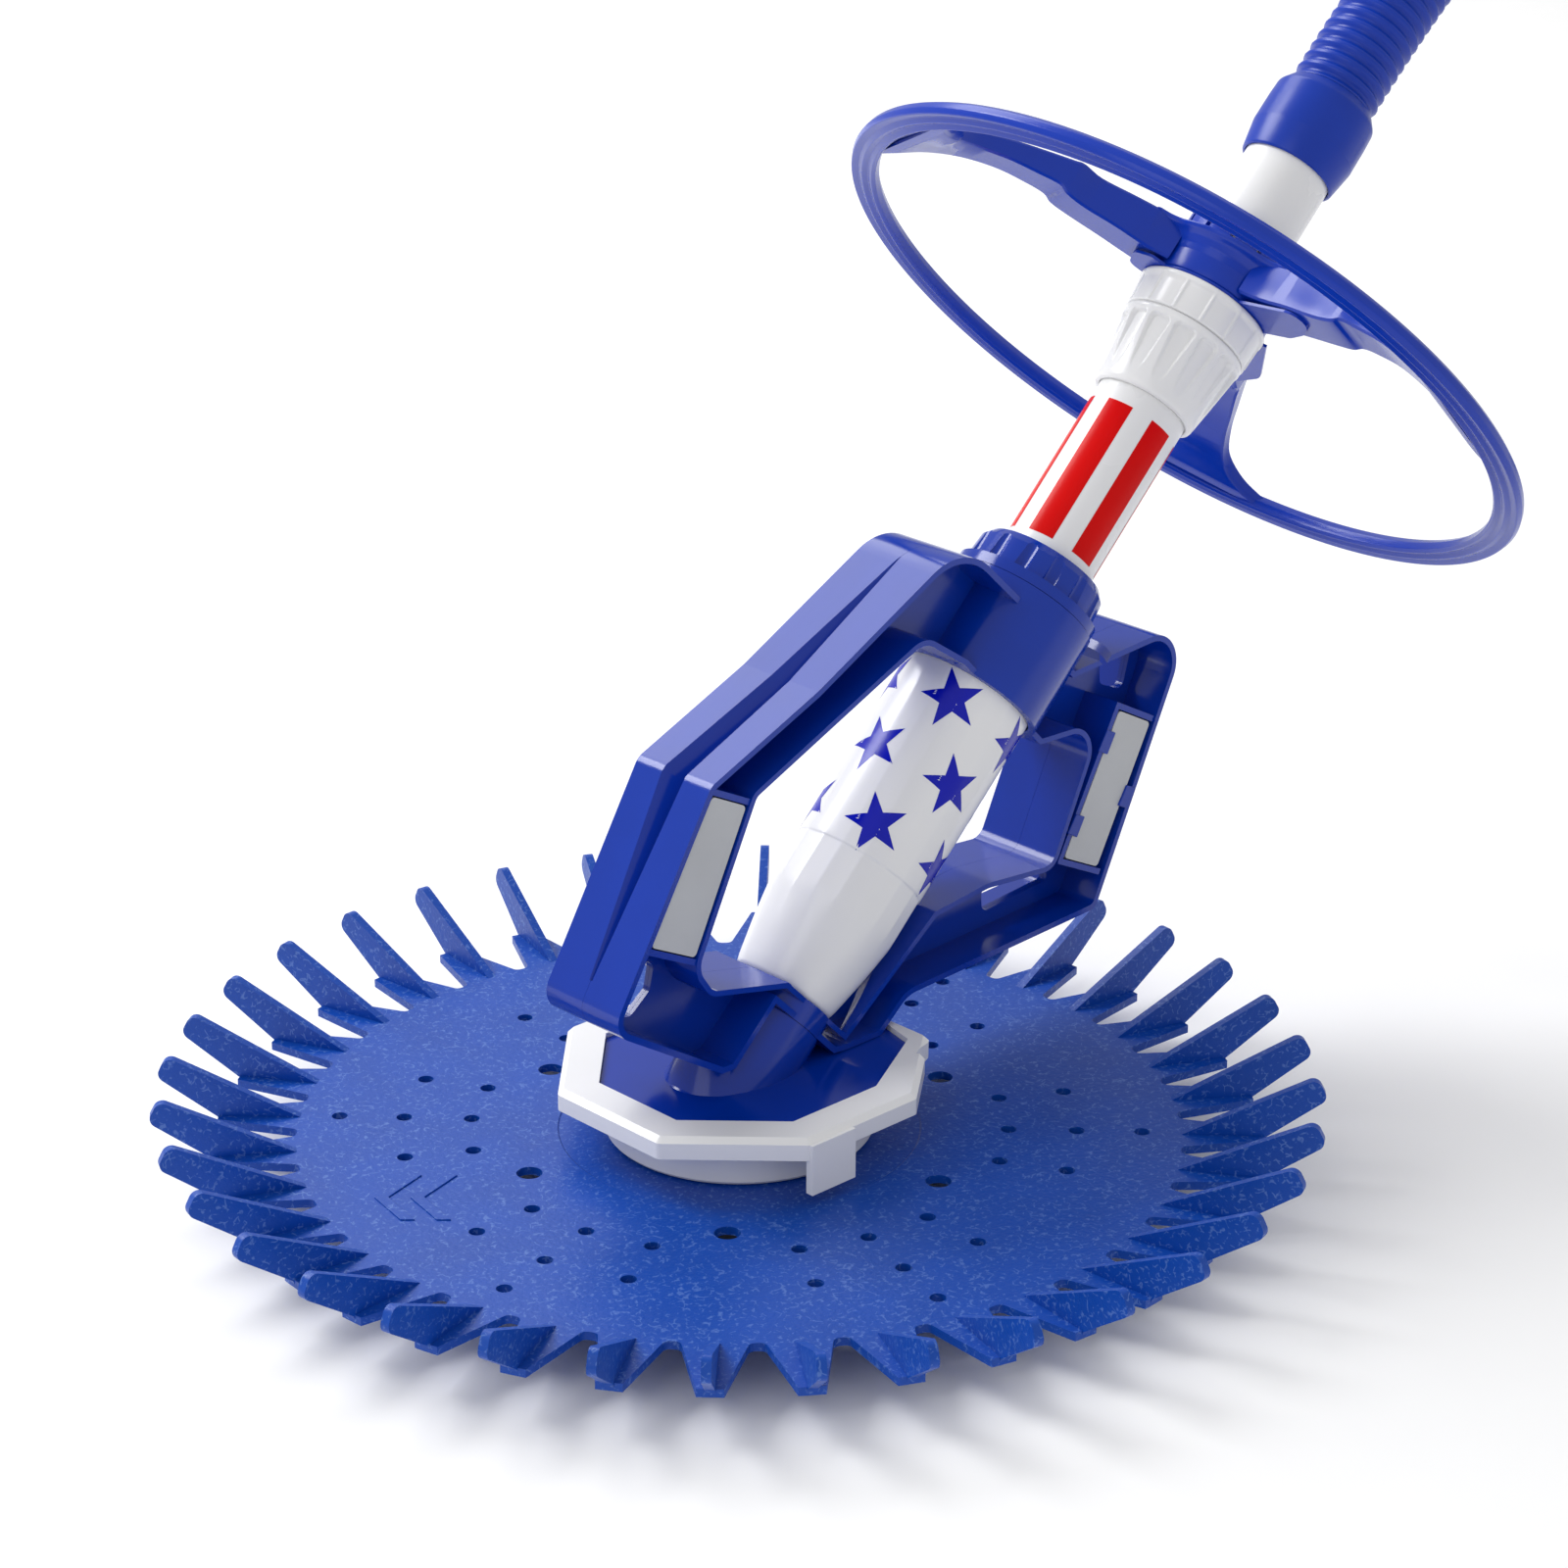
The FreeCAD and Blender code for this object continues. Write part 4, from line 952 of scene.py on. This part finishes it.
stars = []
for column in range(-4, 5):
    for s in STAR_HEIGHTS[column % 2]:
        stars += star_patches(s, STAR_TURN + STAR_PITCH * column, STAR_SIZE, STAR_TILT)
print_patch("blue_stars", stars, cassette_radius, "base", star_blue)

# ------------------------------------------------------------------ small tabs and the disc's mark


def plate(work, outline, low, high, place):
    """A flat plate: an outline of (x, y) in mm between two heights, put in place."""
    bottom = [work.verts.new(place @ (Vector((x, y, low)) / 1000)) for x, y in outline]
    top = [work.verts.new(place @ (Vector((x, y, high)) / 1000)) for x, y in outline]
    work.faces.new(list(reversed(bottom)))
    work.faces.new(top)
    for k in range(len(outline)):
        following = (k + 1) % len(outline)
        work.faces.new((bottom[k], bottom[following], top[following], top[k]))


def plates_piece(name, plates, body, material, bevel):
    """Several plates joined in one piece, with their edges rounded."""
    work = bmesh.new()
    for outline, low, high, place in plates:
        plate(work, outline, low, high, place)
    mesh = finish_outward(work, bpy.data.meshes.new(name))
    piece = new_object(name, mesh, body, material)
    soften(piece, bevel / 1000)
    return piece


# The clips that hold each rear weight, as outlines (x, z) in the body's side view.
WEIGHT_CLIPS = (
    ((164.0, 125.4), (168.6, 123.0), (164.5, 115.7), (159.6, 118.3)),
    ((148.9, 96.9), (153.4, 94.7), (149.5, 87.7), (144.7, 90.6)),
    ((175.8, 100.6), (180.4, 98.5), (176.5, 91.2), (171.5, 93.8)),
)
CLIP_INNER, CLIP_OUTER = 17.1, 18.25
WEIGHT_CLIP_BEVEL, MARK_BEVEL = 0.3, 0.25
SIDE_PLACE = Matrix(((1, 0, 0, 0), (0, 0, 1, 0), (0, 1, 0, 0), (0, 0, 0, 1)))
plates_piece(
    "weight_clips",
    [
        (outline, *sorted((side * CLIP_INNER, side * CLIP_OUTER)), SIDE_PLACE)
        for outline in WEIGHT_CLIPS
        for side in (-1, 1)
    ],
    "base",
    gloss_blue,
    WEIGHT_CLIP_BEVEL,
)

# A plain mark where the photographed disc has a word: two raised chevrons.
MARK_PLACE = Vector((-0.1162, 0.0343, 0))
MARK_UP = Vector((-0.725, 0.687, 0)).normalized()
MARK_LOW, MARK_HIGH = 17.8, 18.55
MARK_SHIFTS = (-7.5, 4.5)
MARK_CHEVRON = ((-16, -5.5), (0, 4.5), (16, -5.5), (16, -0.7), (0, 9.3), (-16, -0.7))
mark_side = MARK_UP.cross(Vector((0, 0, 1)))
mark_frame = Matrix(
    (
        (mark_side.x, MARK_UP.x, 0, MARK_PLACE.x),
        (mark_side.y, MARK_UP.y, 0, MARK_PLACE.y),
        (0, 0, 1, 0),
        (0, 0, 0, 1),
    )
)
plates_piece(
    "disc_chevrons",
    [
        ([(x, y + shift) for x, y in MARK_CHEVRON], MARK_LOW, MARK_HIGH, mark_frame)
        for shift in MARK_SHIFTS
    ],
    "disc",
    disc_rubber,
    MARK_BEVEL,
)

# ------------------------------------------------------------------------------- stage and camera

CAMERA_PLACE = Vector((-0.9081, -0.9712, 0.6864))
CAMERA_LOOK = Vector((0.640, 0.669, -0.377))
CAMERA_ROLL = math.radians(0.11)
CAMERA_LENS = 98.4
CAMERA_SENSOR = 36
FLOOR_HALF = 30
WORLD_LIGHT = 0.6
LIGHT_AIM = (0.1, 0.0, 0.1)
# Each light's name, place, width and height in metres, and power in watts.
LIGHTS = (
    ("key", (-0.8, 2.0, 2.1), (1.3, 1.3), 54),
    ("softbox", (0.8, 2.0, 2.3), (1.7, 1.4), 26),
    ("fill", (-2.2, -0.6, 1.6), (1.6, 1.6), 8),
)


def make_camera():
    """The photograph's view."""
    camera = bpy.data.objects.new("camera", bpy.data.cameras.new("camera"))
    bpy.context.scene.collection.objects.link(camera)
    camera.data.lens = CAMERA_LENS
    camera.data.sensor_width = CAMERA_SENSOR
    camera.location = CAMERA_PLACE
    aim = CAMERA_LOOK.to_track_quat("-Z", "Y")
    camera.rotation_mode = "QUATERNION"
    camera.rotation_quaternion = aim @ Quaternion((0, 0, 1), CAMERA_ROLL)
    bpy.context.scene.camera = camera


def area_light(name, place, size, power):
    """A white rectangular light that points at LIGHT_AIM."""
    light = bpy.data.lights.new(name, "AREA")
    light.shape = "RECTANGLE"
    light.size, light.size_y = size
    light.energy = power
    lamp = bpy.data.objects.new(name, light)
    bpy.context.scene.collection.objects.link(lamp)
    lamp.location = place
    way = Vector(LIGHT_AIM) - Vector(place)
    lamp.rotation_euler = way.to_track_quat("-Z", "Y").to_euler()


def make_stage():
    """A plain pale floor, even white light from all round, and the lights."""
    far = FLOOR_HALF
    corners = [(-far, -far, 0), (far, -far, 0), (far, far, 0), (-far, far, 0)]
    mesh = mesh_from("floor", corners, [(0, 1, 2, 3)], smooth=False)
    floor = bpy.data.objects.new("floor", mesh)
    bpy.context.scene.collection.objects.link(floor)
    floor.data.materials.append(plastic("floor", (247, 247, 247), 0.9, variation=0.002, bump=0))
    world = bpy.data.worlds.new("studio")
    bpy.context.scene.world = world
    world.use_nodes = True
    background = world.node_tree.nodes["Background"]
    background.inputs["Color"].default_value = (1, 1, 1, 1)
    background.inputs["Strength"].default_value = WORLD_LIGHT
    for light in LIGHTS:
        area_light(*light)
    bpy.context.scene.view_settings.view_transform = "Standard"


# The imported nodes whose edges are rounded, and by how many mm.
SOFTENED = {
    "foot_ring": 0.8,
    "foot_base": 0.5,
    "foot_skirt": 0.5,
    "foot_pad": 0.6,
    "finned_disc": 0.35,
    "body_half_left": 0.45,
    "body_half_right": 0.45,
    "front_float_left": 0.3,
    "front_float_right": 0.3,
    "rear_weight_left": 0.3,
    "rear_weight_right": 0.3,
    "hand_nut": 0.35,
}
for node, width in SOFTENED.items():
    soften(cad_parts[node], width / 1000)

make_camera()
make_stage()
